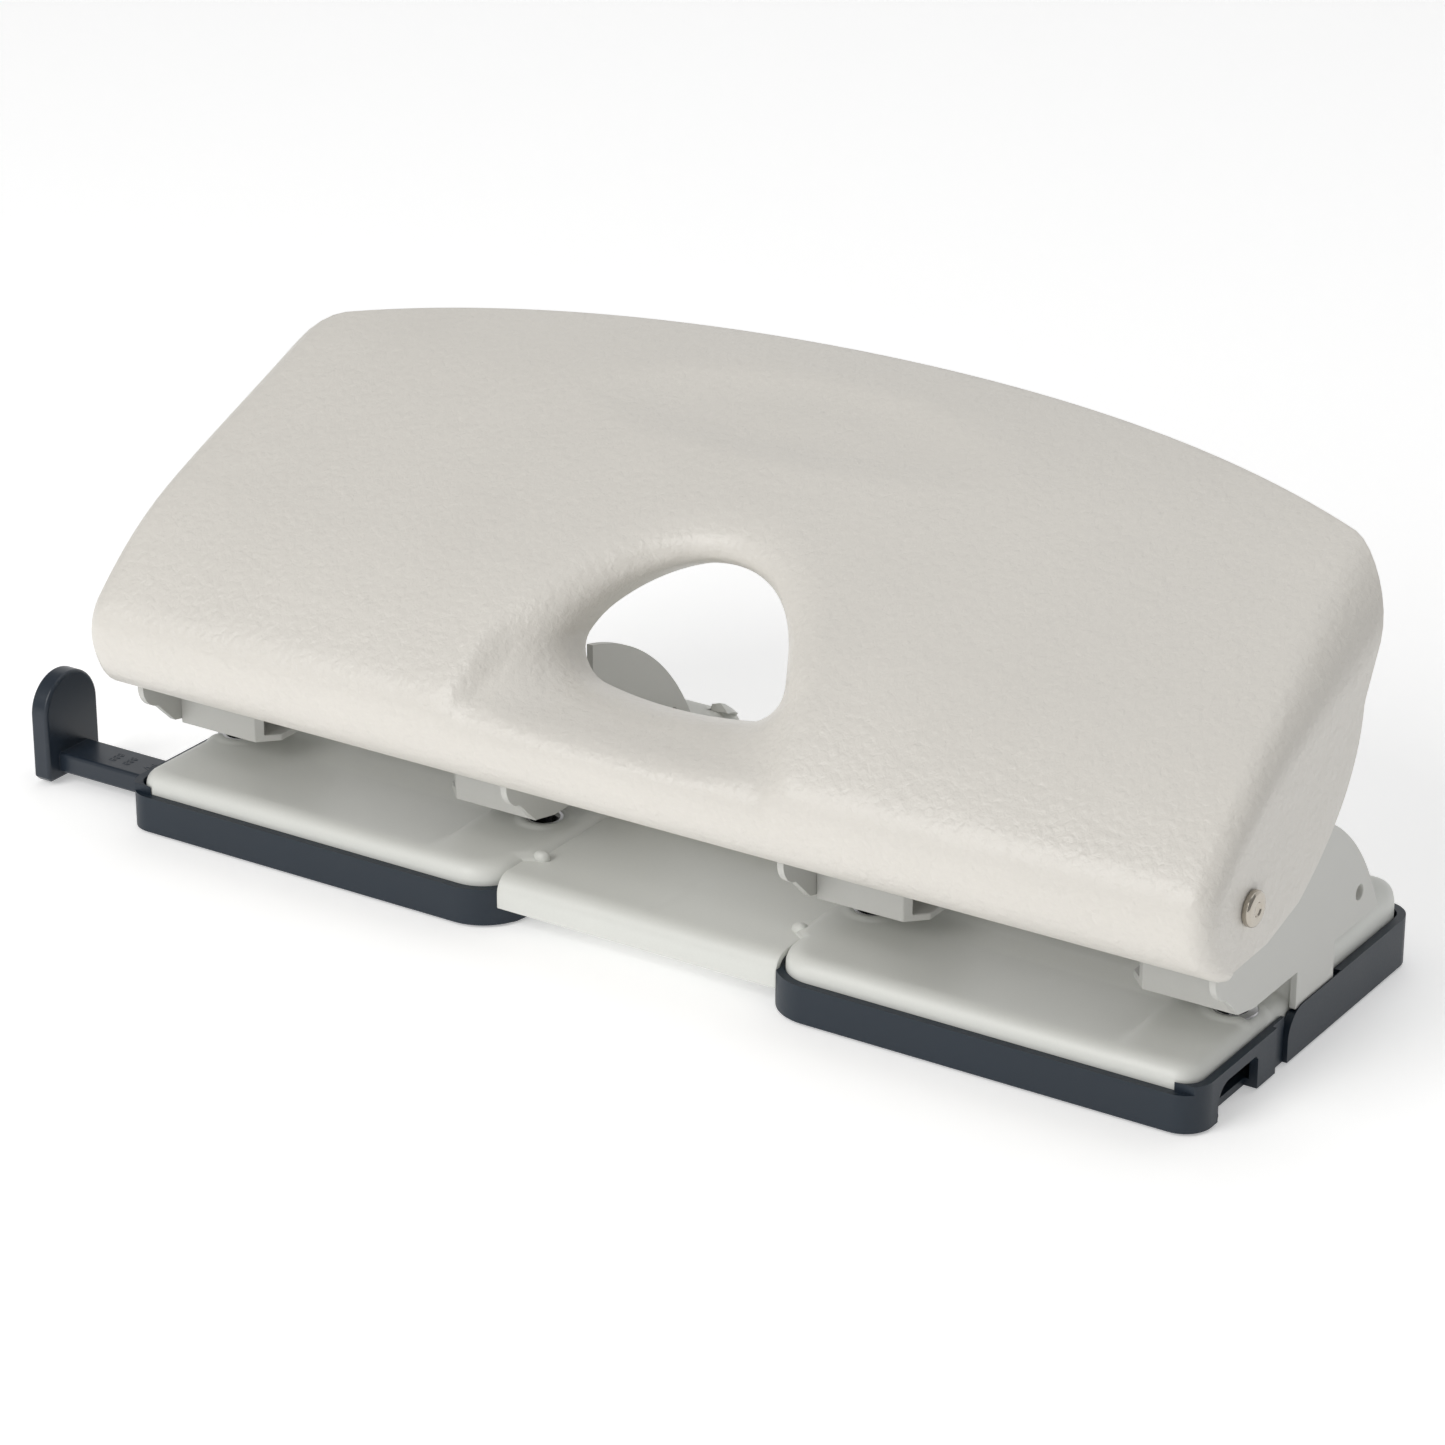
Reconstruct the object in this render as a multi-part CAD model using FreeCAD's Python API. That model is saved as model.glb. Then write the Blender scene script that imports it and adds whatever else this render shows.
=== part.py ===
import FreeCAD, Part
import math
import os

os.makedirs("parts", exist_ok=True)

V = FreeCAD.Vector

# Four-hole desk punch. Millimetres. X runs along the punch, +Y to its rear, +Z up.
# The working origin is the middle of the base on the table; export() moves everything so that
# the finished part's origin is the middle of its overall box, at the bottom.

# Hole pattern
HOLE_PITCH = 80.0           # between neighbouring holes
HOLE_COUNT = 4
PUNCH_Y = -16.8             # the punching line
PUNCH_R = 2.75
RUNNING_GAP = 0.05          # radial clearance of every running fit

# Base
END_MARGIN = 8.5            # from the outer hole to the outer face of the tray
BASE_DEPTH = 92.8
SHEET = 1.5                 # steel of base, ears, guides and cover
FRONT_TOP = 13.0            # top of the plate where the paper lies
STEP_HEIGHT = 5.5           # the paper stop stands this much above the plate
STOP_Y = -5.0               # foot of the paper stop
FLANGE_BOTTOM = 6.0         # lower edge of the plate's turned-down rim
STOP_SLOPE = 0.35           # the paper stop leans back this share of its height
REAR_ROLL_R = 5.0
FRONT_ROLL_R = 3.0
PLATE_CORNER_R = 5.0
RECESS_MARGIN = 0.5         # from a die to the recess between two dies
RECESS_DEPTH = 2.0
RECESS_BACK_Y = -14.0
RECESS_CORNER_R = 6.0
BRIDGE_LAP = 19.5           # how far the bridge runs under each base plate
BRIDGE_DROP = 4.2           # the bridge's front rim ends this high above the table
BRIDGE_TONGUE = 3.3         # how far it runs under them in front of the paper stop
NOTCH_FROM_FRONT = 13.0     # the plate's inner corner is set back over this depth, beside the tray

# Trays
TRAY_WALL = 1.8
TRAY_FLOOR_Z = 0.6
TRAY_FLOOR = 1.6
TRAY_FRONT_TOP = 8.6        # front rim
TRAY_END_TOP = 10.3         # end rim beside the paper guide
TRAY_REAR_TOP = 11.0        # rim of the rear part
TRAY_SPLIT_Y = -9.5         # a slit splits the end rim here
TRAY_SPLIT_GAP = 5.0        # the rim is recessed this far in front of the slit
TRAY_SPLIT_DEPTH = 1.0
TRAY_SHOULDER = 6.0         # rounding of the rear part's front edge
TRAY_CORNER_R = 6.0
TRAY_INNER_CORNER_R = 11.0
TRAY_INNER_WALL_TOP = 5.5
TRAY_LEG_BOTTOM = 10.4      # the outer ear's leg ends this high, above the tray's wall
ARCH_FRONT = 7.2            # from the bar's middle to the front of its opening
ARCH_REAR = 8.8
ARCH_TOP = 7.9
ARCH_R = 4.0
ARCH_NOTCH_TOP = 9.0        # the plate's rim is cut away this high for the paper guide
PLATE_GAP = 0.2             # between the plate's rim and the tray's wall
TRAY_GAP = 0.3              # from the base plate's inner edge to the tray's

# Chip doors
DOOR_FRONT_GAP = 4.6        # from the paper guide to the door
DOOR_REAR_GAP = 8.4         # from the tray's rear face to the door hole
DOOR_END_GAP = 9.0          # from the tray's end walls to the door
DOOR_PLAY = 0.3
DOOR_THICK = 1.4
DOOR_PIN_R = 1.0
DOOR_BARREL_R = 1.9
DOOR_AXIS_Z = 2.9
DOOR_LUG = 6.0

# Paper guide
GUIDE_WIDTH = 10.0
GUIDE_FROM_FRONT = 15.6     # from the tray's front face to the bar's middle
GUIDE_BOTTOM = 2.4
GUIDE_HEIGHT = 4.6
GUIDE_PLAY = 0.15
GUIDE_OUT = 27.0            # from the tray's end to the inner face of the stop
GUIDE_BAR = 92.0
GUIDE_STOP_THICK = 4.5
GUIDE_STOP_WIDTH = 17.0
GUIDE_STOP_HEIGHT = 23.5
GUIDE_RAIL_LENGTH = 26.0
GUIDE_RAIL = 1.4
GUIDE_EDGE_R = 0.8
GUIDE_NOTCHES = 9           # stops of the bar, on its rear edge
GUIDE_NOTCH_STEP = 3.0
GUIDE_NOTCH = 1.2
GUIDE_STOP_FOOT = 0.9       # the stop plate clears the table by this

# Ears and punch guides
EAR_FROM_HOLE = 7.7         # from an inner hole to the face of its ear
EAR_FROM_EDGE = 1.8         # from the base plate's inner edge to the inner ear
EAR_GUARD = 0.1             # from the base plate's edge to the outer ears
SLOT_TOP = 18.4             # underside of the lower guides
EAR_ARC_R = 52.0
EAR_ARC_Y = -20.0
EAR_FRONT_TOP_Y = -9.5
EAR_LOBE_R = 9.0
EAR_FRONT_Y = -40.5
EAR_NOTCH_Z = 40.0
EAR_FOOT = 12.0
EAR_FOOT_Y = (2.0, 25.0)
EAR_HOLE_R = 1.6
EAR_HOLE = (20.0, 6.5)      # its Y, and its height above the plateau
EAR_TAIL_Y = 24.2           # the arc ends here and runs straight down to EAR_TAIL_FOOT_Y
EAR_TAIL_FOOT_Y = 29.4
EAR_LEG_Y = 10.0            # rear edge of the outer ear's leg, below the plateau
EAR_LOBE_TURN = 20.0
# Front edge of an ear from the paper slot up: (Y, height above the slot's top)
EAR_FRONT_EDGE = ((-24.0, 0.0), (-30.5, 1.3), (-36.0, 6.6))
EAR_FRONT_ARC = ((-39.6, 8.9), (EAR_FRONT_Y, 13.0))
GUIDE_SPAN = 24.0           # width of each punch guide
GUIDE_FRONT_Y = -28.5
GUIDE_REAR_Y = -7.0
GUIDE_LIP_TOP = 24.5
UPPER_GUIDE_Z = 27.0
GUIDE_CHAMFER = 4.0

# Lever cover
PIVOT_Y = -36.0
PIVOT_Z = 45.2
PIVOT_R = 2.5
COVER_SIDE_GAP = 2.4        # from the outer ear to the cover's side wall
COVER_NOSE = (-52.8, 46.0)  # foremost point of the front face
COVER_LOWER_R = 14.5        # roll under the nose
COVER_LOWER_TURN = 75.0
COVER_FRONT_ARCS = ((12.0, 45.0), (109.0, 17.0), (820.0, 3.0), (110.0, 19.0))
COVER_CORNER_R = 5.0
COVER_ARCH_DROP = 30.0      # the rear edge lies this much further forward at its ends
COVER_REAR_DROP = 2.0       # the side walls' rear edge starts this far below the front face's end
COVER_SIDE_REAR = ((15.7, 90.4), (8.6, 70.0))   # its rear edge from the top down
COVER_SIDE_ARC = ((2.1, 52.8), (-15.5, 38.0))   # the arc at its lower rear corner
COVER_SIDE_LOW = (-28.0, 34.6)
HAND_GUARD = 5.0            # between the hand hole's rim and the inner ears
HAND_CORNER_R = 9.0
HAND_FLAT = 1.0
HAND_FACE_Z = 64.1          # lower edge of the hole, carried forward to HAND_FACE_Y
HAND_FACE_Y = -70.0
HAND_SLOPE = 16.0
HAND_RIM = 18.0
HAND_CROWN = 0.71           # height of the hole's arched top, as a share of its half width

# Press channels
LIP_Y = -17.3               # centre of the lip that pushes the punches
LIP_Z = 49.6
LIP_R = 3.0
CHANNEL_SHEET = 2.0
CHANNEL_HEEL = (-26.0, 71.5)    # the channel's web runs from the lip towards here
CHANNEL_FLANGE = (-40.0, -23.0) # Y range of the flange on the cover
CHANNEL_END_GAP = 1.6

# Punches
HEAD_OVERHANG = 1.25
HEAD_HEIGHT = 2.0
HEAD_GAP = 0.15             # between a punch head and the lip
TIP_INSET = 0.5             # the tip rests this far above the lower guide's underside
CLIP_THICK = 0.8
CLIP_OVERHANG = 0.6
SPRING_CLEARANCE = 0.55     # between the punch and the spring's inside
SPRING_WIRE = 0.8
DIE_WALL = 1.2
DIE_RIM = 1.1               # the die's rim overhangs its body this much
DIE_RISE = 0.4
DIE_DEPTH = 6.0
DIE_MOUTH = 0.6

# Small parts
PIN_HEAD_OVERHANG = 1.1
PIN_HEAD = 1.7
PIN_INNER_OVERHANG = 2.2
PIN_GROOVE = 0.7            # depth of the groove that its clip sits in
E_CLIP_MOUTH = 1.3          # half width of the clip's mouth
E_CLIP_OVERHANG = 1.9
WASHER_OVERHANG = 2.5
E_CLIP = 0.8
RIVET_R = 1.7
RIVET_HEAD_R = 3.1
RIVET_HEAD = 1.2
FOOT_R = 4.0
FOOT_INSET_X = 4.9          # from the tray's end faces to a foot's centre
FOOT_INSET_Y = 9.5          # from its front and rear faces

# Places that follow from the sizes above
HALF_PATTERN = HOLE_PITCH * (HOLE_COUNT - 1) / 2
PUNCH_X = [HOLE_PITCH * i - HALF_PATTERN for i in range(HOLE_COUNT)]
BASE_HALF = HALF_PATTERN + END_MARGIN
HALF_DEPTH = BASE_DEPTH / 2
EAR_INNER_X = PUNCH_X[-2] - EAR_FROM_HOLE
WING_INNER_X = EAR_INNER_X - EAR_FROM_EDGE
TRAY_INNER_X = WING_INNER_X + TRAY_GAP
GUIDE_Y = -HALF_DEPTH + GUIDE_FROM_FRONT
DOOR_FRONT_Y = GUIDE_Y + GUIDE_WIDTH / 2 + DOOR_FRONT_GAP
DOOR_REAR_Y = HALF_DEPTH - DOOR_REAR_GAP
HAND_HALF = EAR_INNER_X - SHEET - HAND_GUARD
BORE_R = PUNCH_R + RUNNING_GAP
DIE_R = BORE_R + DIE_WALL
HEAD_R = PUNCH_R + HEAD_OVERHANG
CLIP_R = HEAD_R + CLIP_OVERHANG
PIN_HEAD_R = PIVOT_R + PIN_HEAD_OVERHANG
E_CLIP_R = PIVOT_R + E_CLIP_OVERHANG
PLATE_OUTER_X = BASE_HALF - TRAY_WALL - PLATE_GAP
PLATE_FRONT_Y = -HALF_DEPTH + TRAY_WALL + PLATE_GAP
PLATE_REAR_Y = HALF_DEPTH - TRAY_WALL - PLATE_GAP
REAR_TOP = FRONT_TOP + STEP_HEIGHT
EAR_OUTER_X = PLATE_OUTER_X + EAR_GUARD
COVER_INNER_X = EAR_OUTER_X + SHEET + COVER_SIDE_GAP
COVER_HALF = COVER_INNER_X + SHEET
COVER_ARCH_R = (COVER_HALF ** 2 + COVER_ARCH_DROP ** 2) / (2 * COVER_ARCH_DROP)
GUIDE_STOP_X = -BASE_HALF - GUIDE_OUT
SIDES = (("left", -1), ("right", 1))


def box(x0, x1, y0, y1, z0, z1):
    """A box between two corners, whichever way round the X values come."""
    return Part.makeBox(abs(x1 - x0), y1 - y0, z1 - z0, V(min(x0, x1), y0, z0))


def rod(x, y, z, axis, length, radius):
    """A cylinder from a point along a direction."""
    return Part.makeCylinder(radius, length, V(x, y, z), axis)


def joined(shapes):
    """One solid from several that touch or overlap."""
    first, *others = shapes
    return first.fuse(others).removeSplitter() if others else first


def face_from(edges):
    """A flat face inside a closed run of edges."""
    return Part.Face(Part.Wire(edges))


def outline_edges(steps, lift):
    """Edges of a closed outline. A step is a corner (a, b) or an arc ((a, b) through, (a, b) to)."""
    edges = []
    start = steps[0]
    here = start
    for step in steps[1:] + [start]:
        if isinstance(step[0], tuple):
            through, end = step
            edges.append(Part.Arc(lift(here), lift(through), lift(end)).toShape())
        else:
            end = step
            if math.dist(here, end) > 1e-6:
                edges.append(Part.makeLine(lift(here), lift(end)))
        here = end
    return edges


def side_prism(steps, x0, x1):
    """A YZ outline carried along X from x0 to x1."""
    low, high = min(x0, x1), max(x0, x1)
    return face_from(outline_edges(steps, lambda p: V(low, p[0], p[1]))).extrude(V(high - low, 0, 0))


def plan_prism(x0, x1, y0, y1, z0, z1, radii):
    """A rectangle with four corner radii (x0y0, x1y0, x1y1, x0y1), carried up Z."""
    k = 1 - math.sqrt(0.5)
    a, b, c, d = radii
    steps = [
        (x0 + a, y0), (x1 - b, y0), ((x1 - b * k, y0 + b * k), (x1, y0 + b)),
        (x1, y1 - c), ((x1 - c * k, y1 - c * k), (x1 - c, y1)),
        (x0 + d, y1), ((x0 + d * k, y1 - d * k), (x0, y1 - d)),
        (x0, y0 + a), ((x0 + a * k, y0 + a * k), (x0 + a, y0)),
    ]
    return face_from(outline_edges(steps, lambda p: V(p[0], p[1], z0))).extrude(V(0, 0, z1 - z0))


def mirrored(shape):
    """The same shape on the other side of X = 0."""
    return shape.mirror(V(0, 0, 0), V(1, 0, 0))


# ---------------------------------------------------------------- base plates and bridge

def plate_block(x0, x1, inset, bottom):
    """Solid under the plate's top surface, with rounded front and rear rims, drawn in by inset."""
    front, rear = PLATE_FRONT_Y + inset, PLATE_REAR_Y - inset
    low, high = FRONT_TOP - inset, REAR_TOP - inset
    rf, rr = FRONT_ROLL_R - inset * 0.5, REAR_ROLL_R - inset
    k = 1 - math.sqrt(0.5)
    slope = STEP_HEIGHT * STOP_SLOPE
    steps = [
        (front, bottom), (front, low - rf), ((front + rf * k, low - rf * k), (front + rf, low)),
        (STOP_Y + inset, low), (STOP_Y + inset + slope, high), (rear - rr, high),
        ((rear - rr * k, high - rr * k), (rear, high - rr)), (rear, bottom),
    ]
    return side_prism(steps, x0, x1)


def recess_block(depth_below, grow):
    """The shallow hollow between the two holes of one side, on the right-hand side."""
    to_recess = DIE_R + DIE_RIM + RECESS_MARGIN
    x0 = PUNCH_X[-2] + to_recess - grow
    x1 = PUNCH_X[-1] - to_recess + grow
    top = FRONT_TOP + 5
    bottom = FRONT_TOP - RECESS_DEPTH - depth_below
    r = RECESS_CORNER_R + grow
    return plan_prism(x0, x1, PLATE_FRONT_Y - 20, RECESS_BACK_Y + grow, bottom, top, (r, r, r, r))


def plate_notch(grow):
    """What is cut from the plate's inner front corner, where the tray comes up beside it."""
    x = TRAY_INNER_X + TRAY_WALL + PLATE_GAP + grow
    y = PLATE_FRONT_Y + grow
    r = TRAY_INNER_CORNER_R - TRAY_WALL - PLATE_GAP - grow
    notch_y = -HALF_DEPTH + NOTCH_FROM_FRONT + grow
    block = box(WING_INNER_X - 10, x + r, y - 5, notch_y, 0, REAR_TOP)
    return block.cut(plan_prism(x, x + 3 * r, y, notch_y + 3 * r, -1, REAR_TOP + 1, (r, 0.01, 0.01, 0.01)))


def base_plate():
    """The right-hand plate: a pressed lid with a rim on three sides, a recess and die holes."""
    outer = plate_block(WING_INNER_X, PLATE_OUTER_X, 0.0, FLANGE_BOTTOM)
    r = PLATE_CORNER_R
    outer = outer.common(plan_prism(WING_INNER_X, PLATE_OUTER_X, PLATE_FRONT_Y, PLATE_REAR_Y,
                                    0, REAR_TOP + 5, (0.01, r, r, 0.01)))
    outer = outer.cut(plate_notch(0.0))
    r_in = r - SHEET
    hollow = plate_block(WING_INNER_X - 5, PLATE_OUTER_X - SHEET, SHEET, FLANGE_BOTTOM - 5)
    hollow = hollow.common(plan_prism(WING_INNER_X - 6, PLATE_OUTER_X - SHEET, PLATE_FRONT_Y + SHEET,
                                      PLATE_REAR_Y - SHEET, 0, REAR_TOP + 5, (0.01, r_in, r_in, 0.01)))
    hollow = hollow.cut(plate_notch(SHEET))
    plate = outer.cut(recess_block(0.0, 0.0)).cut(hollow.cut(recess_block(SHEET, SHEET)))
    for x in PUNCH_X[-2:]:
        plate = plate.cut(rod(x, PUNCH_Y, 0, V(0, 0, 1), REAR_TOP, DIE_R))
    plate = plate.cut(box(PLATE_OUTER_X - 2 * SHEET, PLATE_OUTER_X + 1, GUIDE_Y - ARCH_FRONT - PLATE_GAP,
                          GUIDE_Y + ARCH_REAR + PLATE_GAP, 0, ARCH_NOTCH_TOP))
    for x, y in rivet_places():
        plate = plate.cut(rod(x, y, 0, V(0, 0, 1), REAR_TOP + 5, RIVET_R))
    return plate


def bridge_plate():
    """The plate that ties the two base plates together and runs under both."""
    reach = WING_INNER_X + BRIDGE_LAP
    outer = plate_block(-reach, reach, SHEET, BRIDGE_DROP)
    hollow = plate_block(-reach - 5, reach + 5, 2 * SHEET, BRIDGE_DROP - 5)
    plate = outer.cut(hollow)
    lap = WING_INNER_X + BRIDGE_TONGUE
    for s in (-1, 1):
        plate = plate.cut(box(s * lap, s * (reach + 5), -HALF_DEPTH, STOP_Y + 3 * SHEET, 0, REAR_TOP))
        plate = plate.cut(box(s * WING_INNER_X, s * (reach + 5), -HALF_DEPTH,
                              -HALF_DEPTH + NOTCH_FROM_FRONT + SHEET + PLATE_GAP, 0, REAR_TOP))
        plate = plate.cut(box(s * (WING_INNER_X - 0.1), s * (reach + 5), -HALF_DEPTH, HALF_DEPTH,
                              0, FLANGE_BOTTOM + 0.2))
        for x, y in rivet_places():
            plate = plate.cut(rod(s * x, y, 0, V(0, 0, 1), REAR_TOP + 5, RIVET_R))
    return plate


def rivet_places():
    """Rivets of the right-hand side: through the ears' feet, in pairs along Y."""
    inner = EAR_INNER_X + SHEET + EAR_FOOT * 0.55
    outer = EAR_OUTER_X - EAR_FOOT * 0.55
    y0, y1 = EAR_FOOT_Y
    return [(x, y) for x in (inner, outer) for y in (y0 + 5.0, y1 - 5.0)]


def frame_rivets():
    """All rivets of ears, base plates and bridge."""
    rivets = []
    foot_top = REAR_TOP + SHEET
    for s in (-1, 1):
        for x, y in rivet_places():
            under = REAR_TOP - SHEET
            if x < WING_INNER_X + BRIDGE_LAP:
                under -= SHEET
            shank = rod(s * x, y, under, V(0, 0, 1), foot_top - under, RIVET_R)
            sphere_r = (RIVET_HEAD_R ** 2 + RIVET_HEAD ** 2) / (2 * RIVET_HEAD)
            dome = Part.makeSphere(sphere_r, V(s * x, y, foot_top + RIVET_HEAD - sphere_r))
            dome = dome.common(rod(s * x, y, foot_top, V(0, 0, 1), RIVET_HEAD, RIVET_HEAD_R))
            lower = rod(s * x, y, under - 0.8, V(0, 0, 1), 0.8, RIVET_HEAD_R - 0.4)
            rivets.append(joined([shank, dome, lower]))
    return Part.makeCompound(rivets)


def die_bush(x):
    """Hardened ring in the base plate that the punch cuts against."""
    top = FRONT_TOP + DIE_RISE
    up = V(0, 0, 1)
    body = rod(x, PUNCH_Y, top - DIE_DEPTH, up, DIE_DEPTH, DIE_R)
    rim = rod(x, PUNCH_Y, FRONT_TOP, up, DIE_RISE, DIE_R + DIE_RIM)
    rim = rim.makeChamfer(DIE_RISE * 0.6, [e for e in rim.Edges if e.BoundBox.ZMin > top - 0.01])
    mouth = Part.makeCone(BORE_R, BORE_R + DIE_MOUTH, DIE_MOUTH, V(x, PUNCH_Y, top - DIE_MOUTH))
    bore = rod(x, PUNCH_Y, top - DIE_DEPTH - 1, up, DIE_DEPTH + 2, BORE_R)
    relief = rod(x, PUNCH_Y, top - DIE_DEPTH - 1, up, 3.2, BORE_R + DIE_WALL / 2)
    return joined([body, rim]).cut(joined([bore, relief])).cut(mouth)


# ---------------------------------------------------------------- ears and punch guides

def ear_steps(leg_bottom):
    """YZ outline of an ear. The leg below the plateau is only on the outer ears."""
    def on_arc(y):
        return y, math.sqrt(EAR_ARC_R ** 2 - (y - EAR_ARC_Y) ** 2)

    front_top = on_arc(EAR_FRONT_TOP_Y)
    tail = on_arc(EAR_TAIL_Y)
    middle = on_arc((EAR_FRONT_TOP_Y + EAR_TAIL_Y) / 2)
    lobe_turn = math.radians(EAR_LOBE_TURN)
    lobe_back = (PIVOT_Y + EAR_LOBE_R * math.cos(lobe_turn), PIVOT_Z + EAR_LOBE_R * math.sin(lobe_turn))
    slot_end = STOP_Y - 1.0
    steps = [(slot_end, SLOT_TOP)]
    steps += [(y, SLOT_TOP + rise) for y, rise in EAR_FRONT_EDGE]
    steps += [tuple((y, SLOT_TOP + rise) for y, rise in EAR_FRONT_ARC)]
    steps += [(PIVOT_Y - EAR_LOBE_R, PIVOT_Z), ((PIVOT_Y, PIVOT_Z + EAR_LOBE_R), lobe_back),
              (lobe_back[0] + 1.0, EAR_NOTCH_Z + 2.0), (lobe_back[0] + 3.0, EAR_NOTCH_Z),
              (EAR_FRONT_TOP_Y - 2.0, EAR_NOTCH_Z), (EAR_FRONT_TOP_Y, EAR_NOTCH_Z + 2.0),
              front_top, (middle, tail), (EAR_TAIL_FOOT_Y, REAR_TOP)]
    if leg_bottom < REAR_TOP:
        steps += [(EAR_LEG_Y, REAR_TOP), (EAR_LEG_Y, leg_bottom), (slot_end, leg_bottom)]
    else:
        steps += [(slot_end, REAR_TOP)]
    return steps


def ear(x, inward, leg_bottom):
    """An upright ear whose outer sheet face is at x; its foot turns inward over the base plate."""
    plate = side_prism(ear_steps(leg_bottom), x, x + inward * SHEET)
    foot = box(x + inward * SHEET * 0.5, x + inward * (SHEET + EAR_FOOT),
               EAR_FOOT_Y[0], EAR_FOOT_Y[1], REAR_TOP, REAR_TOP + SHEET)
    whole = joined([plate, foot])
    whole = whole.cut(rod(x - inward, PIVOT_Y, PIVOT_Z, V(inward, 0, 0), SHEET + 2, PIVOT_R))
    hole_y, rise = EAR_HOLE
    whole = whole.cut(rod(x - inward, hole_y, REAR_TOP + rise, V(inward, 0, 0), SHEET + 2, EAR_HOLE_R))
    for s in (-1, 1):
        for rivet_x, rivet_y in rivet_places():
            whole = whole.cut(rod(s * rivet_x, rivet_y, 0, V(0, 0, 1), REAR_TOP + 10, RIVET_R))
    return whole


def punch_guide(x, face_x, inward):
    """A bent bracket on an ear, with a lower and an upper plate that guide the punch."""
    far_x = face_x + inward * GUIDE_SPAN
    lower = box(face_x, far_x, GUIDE_FRONT_Y, GUIDE_REAR_Y, SLOT_TOP, SLOT_TOP + SHEET)
    lip = box(face_x, far_x, GUIDE_FRONT_Y, GUIDE_FRONT_Y + SHEET, SLOT_TOP, GUIDE_LIP_TOP)
    web = box(face_x, far_x, GUIDE_REAR_Y - SHEET, GUIDE_REAR_Y, SLOT_TOP, UPPER_GUIDE_Z + SHEET)
    upper = box(face_x, far_x, GUIDE_FRONT_Y + GUIDE_CHAMFER, GUIDE_REAR_Y,
                UPPER_GUIDE_Z, UPPER_GUIDE_Z + SHEET)
    whole = joined([lower, lip, web, upper])
    c = GUIDE_CHAMFER
    corner = [V(far_x, GUIDE_FRONT_Y - 1, 0), V(far_x - inward * (c + 1), GUIDE_FRONT_Y - 1, 0),
              V(far_x, GUIDE_FRONT_Y + c, 0)]
    wedge = Part.Face(Part.makePolygon(corner + corner[:1])).extrude(V(0, 0, 40))
    bore = rod(x, PUNCH_Y, 0, V(0, 0, 1), 60, BORE_R)
    return whole.cut(wedge).cut(bore)


# ---------------------------------------------------------------- trays, doors and paper guide

def tray_ends():
    """Inner X, outer X and the door's own X range, on the right-hand side."""
    return TRAY_INNER_X, BASE_HALF, TRAY_INNER_X + DOOR_END_GAP, BASE_HALF - DOOR_END_GAP


def chip_tray():
    """The right-hand moulding under the base plate, open at the top, with a door hole below."""
    x0, x1, door_x0, door_x1 = tray_ends()
    radii = (TRAY_INNER_CORNER_R, TRAY_CORNER_R, TRAY_CORNER_R, TRAY_CORNER_R)
    w = TRAY_WALL
    inner_radii = tuple(r - w for r in radii)
    outer = plan_prism(x0, x1, -HALF_DEPTH, HALF_DEPTH, TRAY_FLOOR_Z, TRAY_REAR_TOP, radii)
    floor_top = TRAY_FLOOR_Z + TRAY_FLOOR
    hollow = plan_prism(x0 + w, x1 - w, -HALF_DEPTH + w, HALF_DEPTH - w, floor_top,
                        TRAY_REAR_TOP + 1, inner_radii)
    tray = outer.cut(hollow)
    top = TRAY_REAR_TOP + 1
    notch_y = -HALF_DEPTH + NOTCH_FROM_FRONT
    corner_x = x0 + TRAY_INNER_CORNER_R
    front_y = -HALF_DEPTH + w
    tray = tray.cut(box(x0 - 1, x1 + 1, -HALF_DEPTH - 1, front_y, TRAY_FRONT_TOP, top))
    tray = tray.cut(box(x0 - 1, corner_x, -HALF_DEPTH - 1, notch_y, TRAY_FRONT_TOP, top))
    tray = tray.cut(box(x0 - 1, corner_x, notch_y, HALF_DEPTH + 1, TRAY_INNER_WALL_TOP, top))
    tray = tray.cut(box(corner_x, x1 + 1, -HALF_DEPTH - 1, TRAY_SPLIT_Y, TRAY_END_TOP, top))
    tray = tray.cut(box(x1 - TRAY_SPLIT_DEPTH, x1 + 1, TRAY_SPLIT_Y - TRAY_SPLIT_GAP, TRAY_SPLIT_Y, 0, top))
    tray = tray.cut(shoulder_cut(x1 - w - 1, x1 + 1))
    leg_clear = box(x1 - w - PLATE_GAP - 1, EAR_OUTER_X + SHEET + PLATE_GAP, STOP_Y - 3, EAR_LEG_Y + 3,
                    TRAY_LEG_BOTTOM - 2 * PLATE_GAP, top)
    tray = tray.cut(leg_clear)
    tray = tray.cut(box(door_x0, door_x1, DOOR_FRONT_Y, DOOR_REAR_Y, 0, floor_top + 1))
    tray = tray.cut(guide_arch(x1 - w - 1, x1 + 1))
    lug_r = DOOR_BARREL_R
    for lug_x in (door_x0 - 0.01, door_x1 - DOOR_LUG + 0.01):
        lug = joined([
            box(lug_x, lug_x + DOOR_LUG, hinge_y(), DOOR_REAR_Y + 0.5, TRAY_FLOOR_Z, DOOR_AXIS_Z + lug_r),
            rod(lug_x, hinge_y(), DOOR_AXIS_Z, V(1, 0, 0), DOOR_LUG, lug_r),
        ])
        tray = joined([tray, lug])
    return tray.cut(rod(door_x0 - 4, hinge_y(), DOOR_AXIS_Z, V(1, 0, 0), door_x1 - door_x0 + 8, DOOR_PIN_R))


def shoulder_cut(x0, x1):
    """What rounds the front edge of the tray's rear part, above the slit."""
    r = TRAY_SHOULDER
    k = 1 - math.sqrt(0.5)
    y, z = TRAY_SPLIT_Y, TRAY_REAR_TOP
    steps = [(y - 0.01, z - r), ((y + r * k, z - r * k), (y + r, z)), (y + r, z + 2), (y - 0.01, z + 2)]
    return side_prism(steps, x0, x1)


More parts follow.
